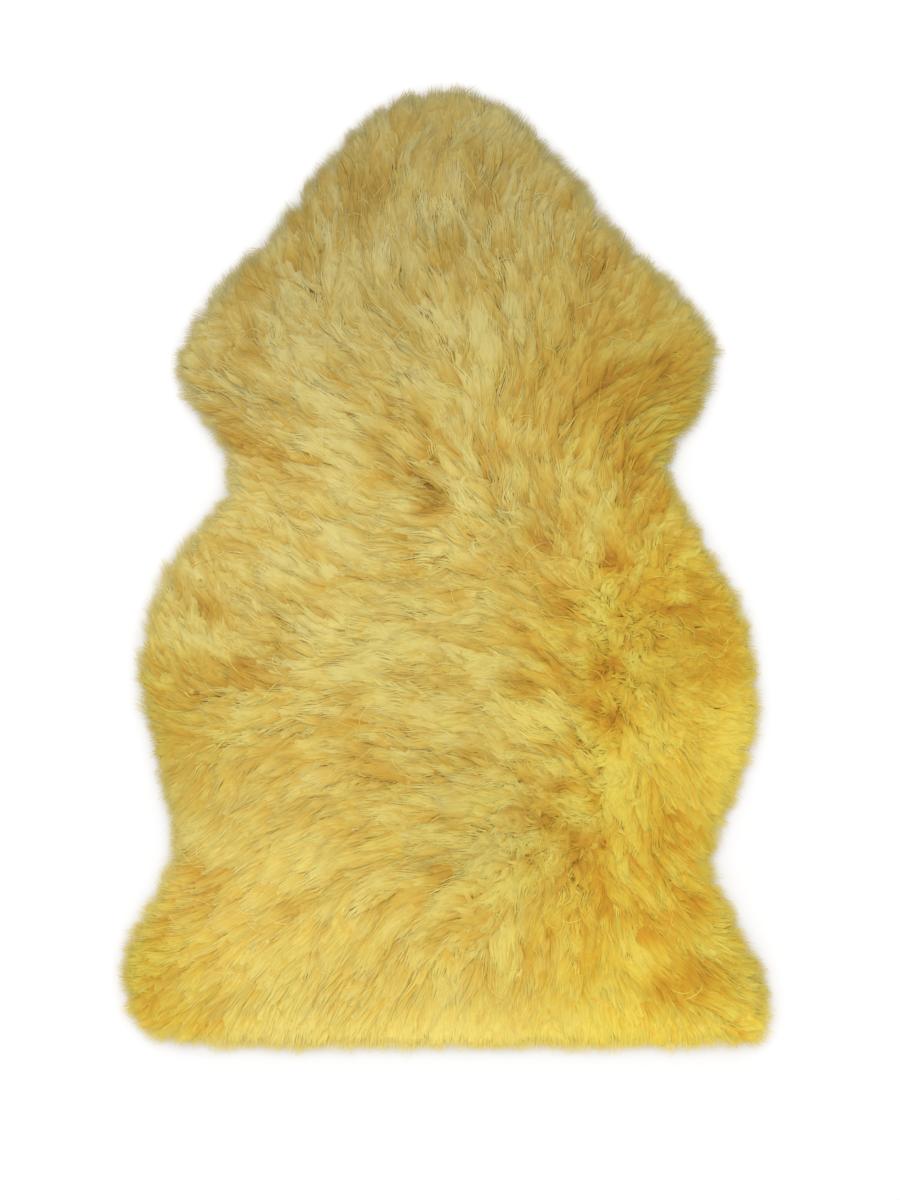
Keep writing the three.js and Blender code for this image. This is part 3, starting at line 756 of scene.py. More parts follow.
def comb(roots, kind):
    """Combs a lock of one kind from each root. Returns the places along the locks, in mm."""
    count = len(roots)
    curly = np.clip(patches_at(roots, CURLY_PATCHES), 0, 1)
    loose = 1 - STRAIGHT_CALM * np.clip(patches_at(roots, STRAIGHT_PATCHES), 0, 1)
    upright = read_field(parting, roots)
    spread = np.clip(draw.standard_normal(count), -SPREAD_LIMIT, SPREAD_LIMIT)
    reach = kind["reach"] + kind["spread"] * spread
    reach *= (1 - CURLY_SHORT * curly) * (1 - PARTED_SHORT * upright)
    own_turn = np.radians(kind["own_turn"]) * draw.standard_normal(count) * (1 + PARTING_MESS * upright)
    turn = loose * (TURN * soft_noise(roots, TURN_LENGTH, seed=5) + own_turn)
    sway = np.radians(kind["sway"]) * (1 - curly) + SWAY_CURLY * curly
    sway = loose * sway * draw.uniform(*SWAY_SPREAD, count)
    sway_length = SWAY_LENGTH * (1 - curly) + SWAY_LENGTH_CURLY * curly
    phase = np.pi * soft_noise(roots, PHASE_LENGTH, seed=6) + draw.normal(0, PHASE_SPREAD, count)
    fall = draw.uniform(*kind["fall"], count)
    shares = np.linspace(0, 1, LOCK_POINTS)
    way = EVEN_STEPS * shares + (1 - EVEN_STEPS) * shares ** 2
    place = roots
    path = [place]
    for k in range(1, LOCK_POINTS):
        swing = sway * np.sin(2 * np.pi * reach * way[k] / sway_length + phase)
        heading = nap_at(place, fall) + turn + swing
        step = reach * (way[k] - way[k - 1])
        place = place + step[:, None] * np.column_stack([np.cos(heading), np.sin(heading)])
        path.append(place)
    fuzz = np.clip(EDGE_FUZZ * draw.standard_normal(count), -EDGE_FUZZ_LIMIT, EDGE_FUZZ_LIMIT)
    flat = cut_at_edge(np.stack(path, axis=1), kind["short"] + fuzz)
    top = along_lines(pile_height, flat)
    layer = draw.uniform(*kind["layers"], count)[:, None]
    rise = 1 - (1 - shares) ** (RISE_POWER + RISE_PARTED * upright[:, None])
    lift = TIP_LIFT * draw.standard_normal(count)[:, None] * shares ** 2 * top / PILE_HEIGHT
    height = hide_top + (top * layer - hide_top) * rise + lift
    return np.dstack([flat, np.maximum(height, LEAST_HEIGHT)])


def emerging(locks):
    """The share of each lock's length that lies hidden in the underwool."""
    steps = np.linalg.norm(np.diff(locks, axis=1), axis=2)
    way = np.concatenate([np.zeros((len(locks), 1)), np.cumsum(steps, axis=1)], axis=1)
    seen = locks[..., 2] > along_lines(cover, locks) - COVER_MARGIN
    first = np.maximum(seen.argmax(1) - 1, 0)
    return np.minimum(way[np.arange(len(locks)), first] / way[:, -1], HIDDEN_LIMIT)


rim_length = np.linalg.norm(hide_edge - np.roll(hide_edge, 1, axis=0), axis=1).sum()
rim_roots = [evenly(inset_line(hide_edge, inset), int(rim_length / RIM_SPACING)) for inset in RIM_ROWS]
filling = comb(scatter(FILLING_SPACING, FILLING_BACK), FILLING)
wisps = comb(scatter(WISP_SPACING, WISP_BACK), WISPS)
rim = comb(np.vstack(rim_roots), RIM)
curl_roots = scatter(CURL_SPACING)
crimped = patches_at(curl_roots, CURLY_PATCHES) + read_field(parting, curl_roots)
curls = comb(curl_roots[crimped > CURL_FROM], CURLS)
print("locks:", len(filling), "filling,", len(wisps), "wisps,", len(curls), "curls,", len(rim), "on the rim")

# %% [markdown]
# ## From locks to fibres
#
# A lock is only a line so far. Geometry Nodes turn each line into a bundle of fibres: copies of it lie side
# by side over a rounded back, draw together towards the tip, end at different lengths and waver on their
# own. Each fibre becomes a narrow tapering ribbon, because at this size nobody sees whether a fibre is
# round. A ribbon is wider than one real fibre and stands for several that cling together.

# %% Inputs of the fibre tree
tree = bpy.data.node_groups.new("fibres_from_locks", "GeometryNodeTree")
SOCKETS = {
    "Locks": "NodeSocketGeometry", "Fibres per lock": "NodeSocketInt", "Points per fibre": "NodeSocketInt",
    "Thickness": "NodeSocketFloat", "Fibre width": "NodeSocketFloat", "Waver": "NodeSocketFloat",
    "Waver length": "NodeSocketFloat", "Shade spread": "NodeSocketFloat", "Shortest fibre": "NodeSocketFloat",
    "Unevenness": "NodeSocketFloat", "Seed": "NodeSocketInt", "Wool": "NodeSocketMaterial",
}
identifier = {
    name: tree.interface.new_socket(name, in_out="INPUT", socket_type=kind).identifier
    for name, kind in SOCKETS.items()
}
tree.interface.new_socket("Fibres", in_out="OUTPUT", socket_type="NodeSocketGeometry")
given = add_node(tree, "NodeGroupInput").outputs
print("inputs of the fibre tree:", list(identifier))

# %% Values that locks and fibres carry
MATH = "ShaderNodeMath"
VECTOR_MATH = "ShaderNodeVectorMath"
READ = "GeometryNodeInputNamedAttribute"
STORE = "GeometryNodeStoreNamedAttribute"
CARRIED = (
    "dye", "tone", "bleach", "breadth", "sag", "crest_light", "gather", "chance", "start", "sunk",
    "part_way", "beside", "length", "own_shade", "colour_way", "part_across",
)
POINTED = 0.35  # how much of the difference in length makes a lock pointed, the rest is chance
FIBRE_TILT = 0.05  # radians by which each fibre tilts on its own
FIBRE_BLEACH = 0.06  # how differently the fibres of a lock are bleached
WIDTH_SPREAD = (0.8, 1.2)  # the narrowest and the widest fibre, as shares

carried = {name: add_node(tree, READ, {"Name": name}, data_type="FLOAT").outputs[0] for name in CARRIED}
copy_number = add_node(tree, "GeometryNodeInputIndex")
fibre_number = add_node(tree, "GeometryNodeCurveOfPoint").outputs["Curve Index"]
# the least and the most of each random value, what it adds to the seed, and the number that it goes by
RANDOM_VALUES = {
    "length": (0.0, 1.0 - POINTED, 0, copy_number),
    "place": (-1.0, 1.0, 1, copy_number),
    "depth": (-0.5, 0.5, 2, fibre_number),
    "tilt": (-FIBRE_TILT, FIBRE_TILT, 4, fibre_number),
    "shade": (-1.0, 1.0, 5, fibre_number),
    "width": (*WIDTH_SPREAD, 6, fibre_number),
    "bleach": (-FIBRE_BLEACH, FIBRE_BLEACH, 7, fibre_number),
}
by_chance = {}
for name, (low, high, offset, number) in RANDOM_VALUES.items():
    seed = add_node(tree, MATH, (given["Seed"], offset), operation="ADD")
    by_chance[name] = add_node(tree, "FunctionNodeRandomValue", {
        "Min": low, "Max": high, "ID": number, "Seed": seed,
    }, data_type="FLOAT")
print("values carried:", len(carried), "and left to chance:", len(by_chance))

# %% Copies of a lock, side by side
lines = add_node(tree, "GeometryNodeMeshToCurve", {"Mesh": given["Locks"]})
factor = add_node(tree, "GeometryNodeSplineParameter").outputs["Factor"]
lines = add_node(tree, STORE, {
    "Geometry": lines, "Name": "part_way", "Value": factor,
}, data_type="FLOAT", domain="POINT")
copies = add_node(tree, "GeometryNodeDuplicateElements", {
    "Geometry": lines, "Amount": given["Fibres per lock"],
}, domain="SPLINE")
off_place = add_node(tree, MATH, (by_chance["place"], given["Unevenness"], 0.5), operation="MULTIPLY_ADD")
middle = add_node(tree, MATH, (copies.outputs["Duplicate Index"], off_place), operation="ADD")
doubled = add_node(tree, MATH, (middle, 2.0), operation="MULTIPLY")
from_side = add_node(tree, MATH, (doubled, given["Fibres per lock"]), operation="DIVIDE")
beside = add_node(tree, MATH, (from_side, 1.0), operation="SUBTRACT")
kept = add_node(tree, STORE, {
    "Geometry": copies, "Name": "beside", "Value": beside,
}, data_type="FLOAT", domain="CURVE")
beside = carried["beside"]
beside_squared = add_node(tree, MATH, (beside, beside), operation="MULTIPLY")
shorter = add_node(tree, MATH, (beside_squared, POINTED, by_chance["length"]), operation="MULTIPLY_ADD")
most_off = add_node(tree, MATH, (1.0, given["Shortest fibre"]), operation="SUBTRACT")
cut_off = add_node(tree, MATH, (shorter, most_off), operation="MULTIPLY")
length = add_node(tree, MATH, (1.0, cut_off), operation="SUBTRACT")
kept = add_node(tree, STORE, {
    "Geometry": kept, "Name": "length", "Value": length,
}, data_type="FLOAT", domain="CURVE")
trimmed = add_node(tree, "GeometryNodeTrimCurve", {
    "Curve": kept, "Start": carried["start"], "End": carried["length"],
})
sampled = add_node(tree, "GeometryNodeResampleCurve", {"Curve": trimmed, "Count": given["Points per fibre"]})
print("nodes with the copies:", len(tree.nodes))

# %% Bundle the copies
GATHER_POWER = 1.5  # how late along its length a lock draws together

part_way = add_node(tree, MATH, (carried["part_way"], carried["length"]), operation="DIVIDE")
near_tip = add_node(tree, MATH, (part_way, GATHER_POWER), operation="POWER")
gathered = add_node(tree, MATH, (near_tip, carried["gather"]), operation="MULTIPLY")
loose = add_node(tree, MATH, (1.0, gathered), operation="SUBTRACT")
tangent = add_node(tree, "GeometryNodeInputTangent")
sideways = add_node(tree, VECTOR_MATH, ((0, 0, 1), tangent), operation="CROSS_PRODUCT")
sideways = add_node(tree, VECTOR_MATH, (sideways,), operation="NORMALIZE")
loose_beside = add_node(tree, MATH, (beside, loose), operation="MULTIPLY")
half_breadth = add_node(tree, MATH, (carried["breadth"], 0.5), operation="MULTIPLY")
aside = add_node(tree, MATH, (loose_beside, half_breadth), operation="MULTIPLY")
spread = add_node(tree, VECTOR_MATH, {"Vector": sideways, "Scale": aside}, operation="SCALE")
lower = add_node(tree, MATH, (carried["sag"], -1.0), operation="MULTIPLY")
sag = add_node(tree, MATH, (beside_squared, lower), operation="MULTIPLY")
own_depth = add_node(tree, MATH, (by_chance["depth"], given["Thickness"]), operation="MULTIPLY")
depth = add_node(tree, MATH, (sag, own_depth), operation="ADD")
upward = add_node(tree, "ShaderNodeCombineXYZ", {"Z": depth})
bundled = add_node(tree, VECTOR_MATH, (spread, upward), operation="ADD")
print("nodes with the bundle:", len(tree.nodes))

# %% Let the fibres waver
TOGETHER = 0.4  # how differently the fibres at the two sides of a lock waver
WAVER_UP = 0.15  # how much of the waver goes up and down

where = add_node(tree, "GeometryNodeInputPosition")
own_noise = add_node(tree, MATH, (beside, TOGETHER, carried["chance"]), operation="MULTIPLY_ADD")
fineness = add_node(tree, MATH, (1.0, given["Waver length"]), operation="DIVIDE")
noise = add_node(tree, "ShaderNodeTexNoise", {
    "Vector": where, "W": own_noise, "Scale": fineness, "Detail": 0.0,
}, noise_dimensions="4D").outputs["Color"]
around_zero = add_node(tree, VECTOR_MATH, (noise, (0.5, 0.5, 0.5)), operation="SUBTRACT")
flattened = add_node(tree, VECTOR_MATH, (around_zero, (1, 1, WAVER_UP)), operation="MULTIPLY")
waver = add_node(tree, MATH, (part_way, given["Waver"]), operation="MULTIPLY")
wavered = add_node(tree, VECTOR_MATH, {"Vector": flattened, "Scale": waver}, operation="SCALE")
shift = add_node(tree, VECTOR_MATH, (bundled, wavered), operation="ADD")
moved = add_node(tree, VECTOR_MATH, (where, shift), operation="ADD")
above_floor = add_node(tree, VECTOR_MATH, (moved, (-1, -1, FLOOR_GAP * MM)), operation="MAXIMUM")
placed = add_node(tree, "GeometryNodeSetPosition", {"Geometry": sampled, "Position": above_floor})
print("nodes with the waver:", len(tree.nodes))

# %% Tilt and bleach the fibres, and paint light and shade on them
ROUND_LIGHT = 0.7  # how strongly a lock's round back turns its fibres to the side
HOLLOW_SHADE_AMBER = 1  # painted shade: how far down the colours of a fibre slide in a deep hollow, towards the roots' amber
MEAN_SQUARE = 1 / 3  # of a fibre's place beside the middle of its lock, which runs from -1 to 1

facing = add_node(tree, "GeometryNodeSetCurveNormal", {"Curve": placed}, mode="Z_UP")
# a back that falls by sag over half the breadth slopes by 4 sag / breadth at its side
sag_here = add_node(tree, MATH, (carried["sag"], beside), operation="MULTIPLY")
four_sags = add_node(tree, MATH, (sag_here, 4.0), operation="MULTIPLY")
back_slope = add_node(tree, MATH, (four_sags, carried["breadth"]), operation="DIVIDE")
back_angle = add_node(tree, MATH, (back_slope,), operation="ARCTANGENT")
side_turn = add_node(tree, MATH, (back_angle, -ROUND_LIGHT), operation="MULTIPLY")
tilt = add_node(tree, MATH, (side_turn, by_chance["tilt"]), operation="ADD")
kept = add_node(tree, "GeometryNodeSetCurveTilt", {"Curve": facing, "Tilt": tilt})
own_shade = add_node(tree, MATH, (by_chance["shade"], given["Shade spread"]), operation="MULTIPLY")
# painted shade: in a hollow, a fibre's colours slide towards the amber of its roots
slid_down = add_node(tree, MATH, (carried["sunk"], HOLLOW_SHADE_AMBER), operation="MULTIPLY")
seen_share = add_node(tree, MATH, (1.0, slid_down), operation="SUBTRACT")
colour_way = add_node(tree, MATH, (part_way, seen_share), operation="MULTIPLY")
# painted light and shade: fibres along a lock's middle are paler, as on a lit round back, and those at its
# flanks deeper, as in its shade
from_mean = add_node(tree, MATH, (MEAN_SQUARE, beside_squared), operation="SUBTRACT")
crest_light = add_node(tree, MATH, (from_mean, carried["crest_light"]), operation="MULTIPLY")
bleach = add_node(tree, MATH, (carried["bleach"], by_chance["bleach"]), operation="ADD")
for more in (crest_light, bleach):
    colour_way = add_node(tree, MATH, (colour_way, more), operation="ADD")
colour_way = add_node(tree, "ShaderNodeClamp", {"Value": colour_way})
for name, value in (("own_shade", own_shade), ("colour_way", colour_way)):
    kept = add_node(tree, STORE, {
        "Geometry": kept, "Name": name, "Value": value,
    }, data_type="FLOAT", domain="POINT")
print("nodes with the tilt and bleach:", len(tree.nodes))

# %% Ribbons
FIBRE_TAPER = 0.9  # how much narrower a fibre is at its tip
TAPER_POWER = 4.0  # how late along its length it narrows

near_tip = add_node(tree, MATH, (factor, TAPER_POWER), operation="POWER")
narrower = add_node(tree, MATH, (near_tip, FIBRE_TAPER), operation="MULTIPLY")
width = add_node(tree, MATH, (1.0, narrower), operation="SUBTRACT")
for more in (given["Fibre width"], by_chance["width"]):
    width = add_node(tree, MATH, (width, more), operation="MULTIPLY")
profile = add_node(tree, "GeometryNodeCurvePrimitiveLine", {"Start": (-0.5, 0, 0), "End": (0.5, 0, 0)})
profile = add_node(tree, STORE, {
    "Geometry": profile, "Name": "part_across", "Value": factor,
}, data_type="FLOAT", domain="POINT")
ribbons = add_node(tree, "GeometryNodeCurveToMesh", {
    "Curve": kept, "Profile Curve": profile, "Scale": width,
})
print("nodes with the ribbons:", len(tree.nodes))

# %% The fibres' colour coordinate
LIGHTEST = 0.999  # just under 1, where the last shade's strip ends
RIBBON_SPAN = 0.06  # how much of a shade's strip a ribbon takes up from side to side

tone = add_node(tree, MATH, (carried["tone"], carried["own_shade"]), operation="ADD")
tone = add_node(tree, "ShaderNodeClamp", {"Value": tone, "Min": 0.0, "Max": LIGHTEST})
strips = add_node(tree, MATH, (tone, SHADES), operation="MULTIPLY")
strip = add_node(tree, MATH, (strips,), operation="FLOOR")
from_middle = add_node(tree, MATH, (carried["part_across"], 0.5), operation="SUBTRACT")
across = add_node(tree, MATH, (from_middle, RIBBON_SPAN), operation="MULTIPLY")
dyed = add_node(tree, MATH, (carried["dye"], DYE_SPAN[1]), operation="MULTIPLY")
dyed = add_node(tree, MATH, (dyed, DYE_SPAN[0]), operation="ADD")
in_strip = add_node(tree, MATH, (dyed, across), operation="ADD")
code = add_node(tree, MATH, (strip, in_strip), operation="ADD")
code = add_node(tree, MATH, (code, SHADES), operation="DIVIDE")
coordinate = add_node(tree, "ShaderNodeCombineXYZ", {"X": code, "Y": carried["colour_way"]})
coded = ribbons
for name, kind in (("fibre_coordinate", "FLOAT_VECTOR"), ("OFBake", "FLOAT2")):
    coded = add_node(tree, STORE, {
        "Geometry": coded, "Name": name, "Value": coordinate,
    }, data_type=kind, domain="CORNER")
smooth = add_node(tree, "GeometryNodeSetShadeSmooth", {"Geometry": coded})
realized = add_node(tree, "GeometryNodeRealizeInstances", {"Geometry": smooth})
finished = add_node(tree, "GeometryNodeSetMaterial", {"Geometry": realized, "Material": given["Wool"]})
add_node(tree, "NodeGroupOutput", {"Fibres": finished})
fibre_tree = tree
print("fibre tree nodes:", len(tree.nodes))

# %% [markdown]
# ## Growing the fleece
#
# The locks are handed to the fibre tree in a few pieces, so that no mesh grows too heavy. Every lock brings
# its own dye, lightness, breadth and roundness. Where the wool is combed straight, locks are broad and flat
# and run into one another. Elsewhere they are round and pointed.

# %% Helpers that grow fleece
def line_mesh(name, lines, values):
    """A mesh of open lines that carry values, one for each line or one for each of its points."""
    count, points = lines.shape[:2]
    index = np.arange(count * points).reshape(count, points)
    edges = np.stack([index[:, :-1], index[:, 1:]], axis=-1).reshape(-1, 2)
    mesh = bpy.data.meshes.new(name)
    mesh.from_pydata(lines.reshape(-1, 3) * MM, edges, [])
    for kind, value in values.items():
        value = np.broadcast_to(value if np.ndim(value) == 2 else np.reshape(value, (-1, 1)), (count, points))
        layer = mesh.attributes.new(kind, "FLOAT", "POINT")
        layer.data.foreach_set("value", value.astype(np.float32).ravel())
    return mesh


def grow(name, lines, values, settings):
    """A piece of fleece grown from locks by the fibre tree, as a plain mesh."""
    piece = bpy.data.objects.new(name, line_mesh(name + "_locks", lines, values))
    bpy.context.scene.collection.objects.link(piece)
    modifier = piece.modifiers.new("fibres", "NODES")
    modifier.node_group = fibre_tree
    for setting, value in settings.items():
        modifier[identifier[setting]] = value
    evaluated = piece.evaluated_get(bpy.context.evaluated_depsgraph_get())
    mesh = bpy.data.meshes.new_from_object(evaluated)
    mesh.name = name
    for layer in [*values, "part_way", "beside", "length", "own_shade", "colour_way", "part_across"]:
        mesh.attributes.remove(mesh.attributes[layer])
    piece.modifiers.remove(modifier)
    piece.data = mesh
    print(name, "triangles:", sum(len(face.vertices) - 2 for face in mesh.polygons))
    return piece


print("pieces under the fleece:", [piece.name for piece in (hide, underwool)])

# %% What each lock brings
SEEN_POINT = 7  # the point in the middle of what shows of a lock
HOLLOW_SHADE_SPAN = (0.4, 1)  # painted shade: from a lock that bridges a hollow to one that lies in it
STREAK_BLEACH = 0.13  # how much nearer to the colour of the tips the wool is in a light streak
TUFT_HIGHLIGHT_PALE = 0.20  # painted highlight: how much nearer to the colour of the tips the wool is on a full tuft
HOLLOW_SHADE_TONE = 0.04  # painted shade: how much darker locks are in a deep hollow
BREADTH_SPREAD = (0.7, 1.3)  # the narrowest and the broadest lock, as shares
STREAK_STRAIGHT = 0.1  # how much of the streaks is left where the wool is combed straight
CREST_STRAIGHT = 0.15  # how much of a lock's painted light along its crest and painted shade at its flanks is left there
GATHER_STRAIGHT = 0.3  # how much locks still draw together there
GATHER_SPREAD = 0.1
GATHER_LIMIT = 0.95
CHANCES = 50  # how far apart locks may lie in the noise that they waver by


def eased(straight, loose):
    """From a share where the wool is combed straight to 1 where it is loose."""
    return straight + (1 - straight) * loose


def lock_values(locks, breadth, sag, gather, crest_light, bleach, light=0):
    """What each lock brings: its dye and lightness with painted light and shade, its shape, and where it
    leaves the underwool.
    """
    count = len(locks)
    middles = locks[:, LOCK_POINTS // 2, :2]
    loose = 1 - np.clip(patches_at(middles, STRAIGHT_PATCHES), 0, 1)
    seen = locks[:, SEEN_POINT, :2]
    pale = bleach + patches_at(middles, PALE_LIGHT_AND_SHADE_PATCHES)[:, None]
    streak = STREAK_BLEACH * eased(STREAK_STRAIGHT, loose[:, None]) * along_lines(streaks, locks)
    return {
        "dye": np.clip(dye_at(middles) + DYE_CLOUDS * soft_noise(middles, DYE_CLOUD, seed=8), 0, 1),
        "tone": tone_at(middles) + light - HOLLOW_SHADE_TONE * read_field(sunk, seen),
        "bleach": pale + streak + TUFT_HIGHLIGHT_PALE * along_lines(tuft_highlight, locks),
        "breadth": breadth * MM * draw.uniform(*BREADTH_SPREAD, count),
        "sag": sag * MM * loose,
        "crest_light": crest_light * eased(CREST_STRAIGHT, loose),
        "gather": np.clip(
            gather * eased(GATHER_STRAIGHT, loose) + GATHER_SPREAD * draw.standard_normal(count),
            0, GATHER_LIMIT,
        ),
        "chance": draw.uniform(0, CHANCES, count),
        "start": emerging(locks),
        "sunk": along_lines(sunk, locks) * draw.uniform(*HOLLOW_SHADE_SPAN, (count, 1)),
    }


print("breadths of single locks, as shares:", BREADTH_SPREAD)

# %% Grow the fleece
SEED_STEP = 100  # between the seeds of two pieces
FINE = {
    "Points per fibre": 5, "Thickness": 0.1 * MM, "Fibre width": 1.4 * MM, "Waver": 1.6 * MM,
    "Waver length": 24 * MM, "Shade spread": 0.015, "Shortest fibre": 0.65, "Unevenness": 0.2, "Wool": wool,
}
# name, locks, number of pieces, the fibres, and the locks' form with its breadth and sag in mm
FLEECE = (
    # the filling is painted paler and lighter than the wisps, to make up for the shade that the wisps cast on
    # it
    ("filling", filling, 1, {**FINE, "Fibres per lock": 7, "Points per fibre": 3, "Fibre width": 1.7 * MM},
     {"breadth": 14, "sag": 0.4, "gather": 0.1, "crest_light": 0.1, "bleach": 0.15, "light": 0.05}),
    ("wisps", wisps, 4, {**FINE, "Fibres per lock": 17},
     {"breadth": 16, "sag": 0.25, "gather": 0.25, "crest_light": 0.32, "bleach": 0}),
    ("curls", curls, 1, {**FINE, "Fibres per lock": 8, "Points per fibre": 7},
     {"breadth": 8, "sag": 0.3, "gather": 0.3, "crest_light": 0.2, "bleach": 0}),
    ("rim", rim, 1, {
        **FINE, "Fibres per lock": 24, "Points per fibre": 4, "Fibre width": 0.5 * MM, "Waver": 5 * MM,
        "Shortest fibre": 0.8, "Unevenness": 0.5,
    }, {"breadth": 16, "sag": 0.5, "gather": 0.05, "crest_light": 0, "bleach": 0.5}),
)
fleece = []
for name, locks, count, settings, form in FLEECE:
    values = lock_values(locks, **form)
    down_the_rug = np.argsort(-locks[:, 0, 1])
    for number, chosen in enumerate(np.array_split(down_the_rug, count)):
        chosen_values = {kind: value[chosen] for kind, value in values.items()}
        settings["Seed"] = SEED_STEP * len(fleece)
        fleece.append(grow(f"{name}_{number + 1}", locks[chosen], chosen_values, settings))

# %% [markdown]
# ## Stray hairs
#
# A few hairs always come loose and lie curled on top of the combed wool. Each is one line that turns more
# and more towards its tip, grown by the same fibre tree as a lock of a single fibre.

# %% Stray hairs
STRAY_COUNT = 320
STRAY_POINTS = 14
STRAY_TRIES = 4  # roots drawn for each hair, as many of them miss the hide
STRAY_TURN = 0.7  # radians by which a hair leaves the nap
STRAY_BEND = 2.2  # radians by which it turns up to its tip
STRAY_REACH = (18, 55)  # mm
STRAY_WIDTH = 0.5  # mm
STRAY_LIGHT = 0.12  # how much lighter it is than the wool
STRAY_LIFT = 1.5  # mm above the pile
STRAY_UNSHADED = -2  # less than no painted hollow shade, so that a stray hair is pale almost from its root, without the amber that stands partly for shade there

roots = draw.uniform(-1, 1, (STRAY_TRIES * STRAY_COUNT, 2)) * GRID_HALF
roots = roots[depth_inside(roots, hide_edge) > 0][:STRAY_COUNT]
count = len(roots)
heading = nap_at(roots) + draw.normal(0, STRAY_TURN, count)
bend = draw.normal(0, STRAY_BEND, count)
reach = draw.uniform(*STRAY_REACH, count)
place = roots
path = [place]
for share in np.linspace(0, 1, STRAY_POINTS)[1:]:
    way = heading + bend * share ** 2
    place = place + (reach / STRAY_POINTS)[:, None] * np.column_stack([np.cos(way), np.sin(way)])
    path.append(place)
flat = cut_at_edge(np.stack(path, axis=1), np.zeros(count))
hairs = np.dstack([flat, along_lines(pile_height, flat) + STRAY_LIFT])
plain = {kind: np.zeros(count) for kind in ("breadth", "sag", "gather", "crest_light", "bleach", "chance", "start")}
plain["sunk"] = np.full(count, STRAY_UNSHADED)
fleece.append(grow("stray_hairs", hairs, {
    "dye": dye_at(roots), "tone": tone_at(roots) + STRAY_LIGHT, **plain,
}, {
    **FINE, "Fibres per lock": 1, "Points per fibre": STRAY_POINTS, "Fibre width": STRAY_WIDTH * MM,
    "Seed": 7,
}))

# %% [markdown]
# ## Suede and underwool finishes
#
# The flesh side of the hide is suede: pale tan, soft and without gloss, with a fine nap and faint clouds
# where the dye soaked through. The underwool is dyed like the wool above it, in narrower shades, and is
# painted a little lighter to make up for the shade that the wool above casts on it.

# %% Suede
SUEDE_CLOUD = 60  # mm from cloud to cloud
SUEDE_NAP = 1.2  # mm, coarser than the real nap, which is too fine to show
SUEDE_NAP_HEIGHT = 0.4  # mm
SUEDE_COLOURS = [(0.3, "#cdb48a"), (0.55, "#dcc9a2"), (0.75, "#d9bd7c")]

suede, tree, output = new_material("tanned_suede")
place = add_node(tree, "ShaderNodeTexCoord").outputs["Object"]
clouds = add_node(tree, "ShaderNodeTexNoise", {
    "Vector": place, "Scale": 1 / (SUEDE_CLOUD * MM), "Detail": 3.0,
})
colour = add_node(tree, "ShaderNodeValToRGB", {"Fac": clouds}, stops=SUEDE_COLOURS)
grain = add_node(tree, "ShaderNodeTexNoise", {"Vector": place, "Scale": 1 / (SUEDE_NAP * MM), "Detail": 2.0})
bump = add_node(tree, "ShaderNodeBump", {"Height": grain, "Strength": 0.3, "Distance": SUEDE_NAP_HEIGHT * MM})
shader = add_node(tree, "ShaderNodeBsdfPrincipled", {
    "Base Color": colour, "Roughness": 0.9, "Normal": bump, "Sheen Weight": 0.3,
})
tree.links.new(shader.outputs[0], output.inputs["Surface"])
hide.data.materials.append(suede)
print("material:", suede.name)

# %% Underwool's finish
UNDERWOOL_TUFT = 6  # mm from tuft to tuft
UNDERWOOL_TUFT_HEIGHT = 3  # mm
UNDERWOOL_STRAW = [(0.3, "#c8a448"), (0.7, "#d0ae52")]
UNDERWOOL_GOLD = [(0.3, "#d4a42a"), (0.7, "#dcae34")]

dense, tree, output = new_material("dense_underwool")
place = add_node(tree, "ShaderNodeTexCoord").outputs["Object"]
tufts = add_node(tree, "ShaderNodeTexNoise", {
    "Vector": place, "Scale": 1 / (UNDERWOOL_TUFT * MM), "Detail": 3.0,
})
depth = add_node(tree, "ShaderNodeAttribute", attribute_name="dye").outputs["Fac"]
light = add_node(tree, "ShaderNodeAttribute", attribute_name="tone").outputs["Fac"]
straw = add_node(tree, "ShaderNodeValToRGB", {"Fac": tufts}, stops=UNDERWOOL_STRAW)
gold = add_node(tree, "ShaderNodeValToRGB", {"Fac": tufts}, stops=UNDERWOOL_GOLD)
dyed = add_node(tree, "ShaderNodeMix", {"Factor": depth, "A": straw, "B": gold}, data_type="RGBA")
level = add_node(tree, "ShaderNodeMapRange", {"Value": light, "To Min": LEVELS[0], "To Max": LEVELS[1]})
colour = add_node(tree, "ShaderNodeHueSaturation", {"Color": dyed.outputs["Result"], "Value": level})
bump = add_node(tree, "ShaderNodeBump", {
    "Height": tufts, "Strength": 0.8, "Distance": UNDERWOOL_TUFT_HEIGHT * MM,
})
shader = add_node(tree, "ShaderNodeBsdfPrincipled", {
    "Base Color": colour, "Roughness": 0.85, "Normal": bump, "Sheen Weight": 0.2,
})
tree.links.new(shader.outputs[0], output.inputs["Surface"])
underwool.data.materials.append(dense)
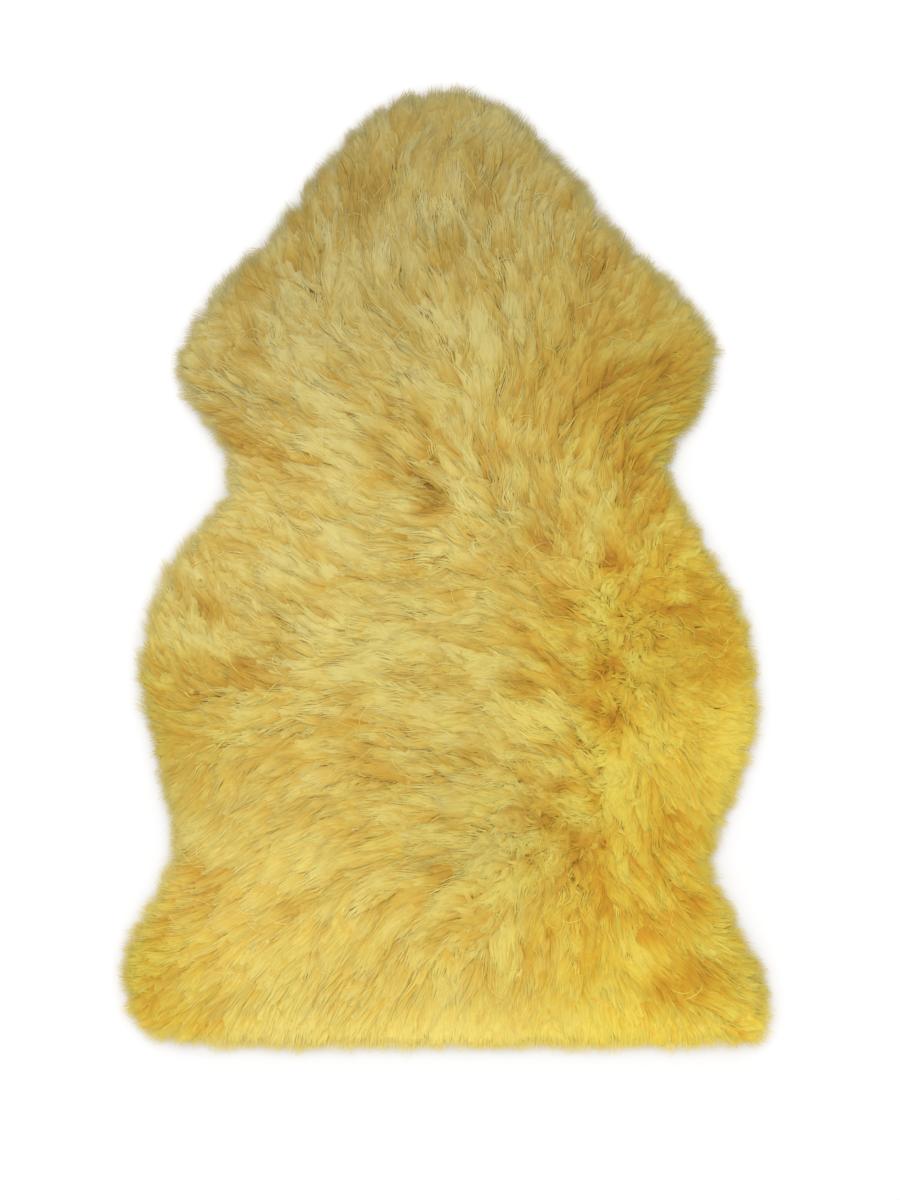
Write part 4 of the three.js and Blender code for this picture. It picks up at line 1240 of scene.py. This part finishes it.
print("materials:", [material.name for material in bpy.data.materials])

# %% [markdown]
# ## Floor and light
#
# The rug lies on a plain pale floor in soft studio light: an even white surround, and one large lamp from
# the neck side that models the locks without hard shadows.

# %% Floor and light
FLOOR_SIZE = 30  # m
SURROUND = 0.9  # brightness of the white surround
LAMP_SIZE = 3  # m across
LAMP_POWER = 24  # W
LAMP_PLACE = (-0.5, 1.1, 2.7)  # m

floor_mesh = bpy.data.meshes.new("floor")
half = FLOOR_SIZE / 2
corners = [(-half, -half, 0), (half, -half, 0), (half, half, 0), (-half, half, 0)]
floor_mesh.from_pydata(corners, [], [(0, 1, 2, 3)])
floor = bpy.data.objects.new("floor", floor_mesh)
bpy.context.scene.collection.objects.link(floor)
paint, tree, output = new_material("pale_floor")
shader = add_node(tree, "ShaderNodeBsdfPrincipled", {"Roughness": 0.9, "Specular IOR Level": 0.1})
shader.inputs["Base Color"].default_value = linear("#fdfdfd")
tree.links.new(shader.outputs[0], output.inputs["Surface"])
floor_mesh.materials.append(paint)

world = bpy.data.worlds.new("studio")
world.use_nodes = True
backdrop = world.node_tree.nodes["Background"]
backdrop.inputs["Color"].default_value = linear("#ffffff")
backdrop.inputs["Strength"].default_value = SURROUND
bpy.context.scene.world = world

lamp_data = bpy.data.lights.new("soft_lamp", "AREA")
lamp_data.shape = "DISK"
lamp_data.size = LAMP_SIZE
lamp_data.energy = LAMP_POWER
lamp = bpy.data.objects.new("soft_lamp", lamp_data)
lamp.location = LAMP_PLACE
lamp.rotation_euler = (-lamp.location).to_track_quat("-Z", "Y").to_euler()
bpy.context.scene.collection.objects.link(lamp)
bpy.context.scene.view_settings.view_transform = "Standard"
print("lamp at", [round(c, 2) for c in lamp.location])

# %% [markdown]
# ## Hand over
#
# Every piece rides on the rug's one body and stands for its one solid. The hide is a sheet, cut to the
# outline inside the wool, and the fleece goes with it.

# %% Hand over
wool_pieces = [underwool, *fleece]
for piece in [hide, *wool_pieces]:
    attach(piece, "root")
    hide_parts("sheepskin")
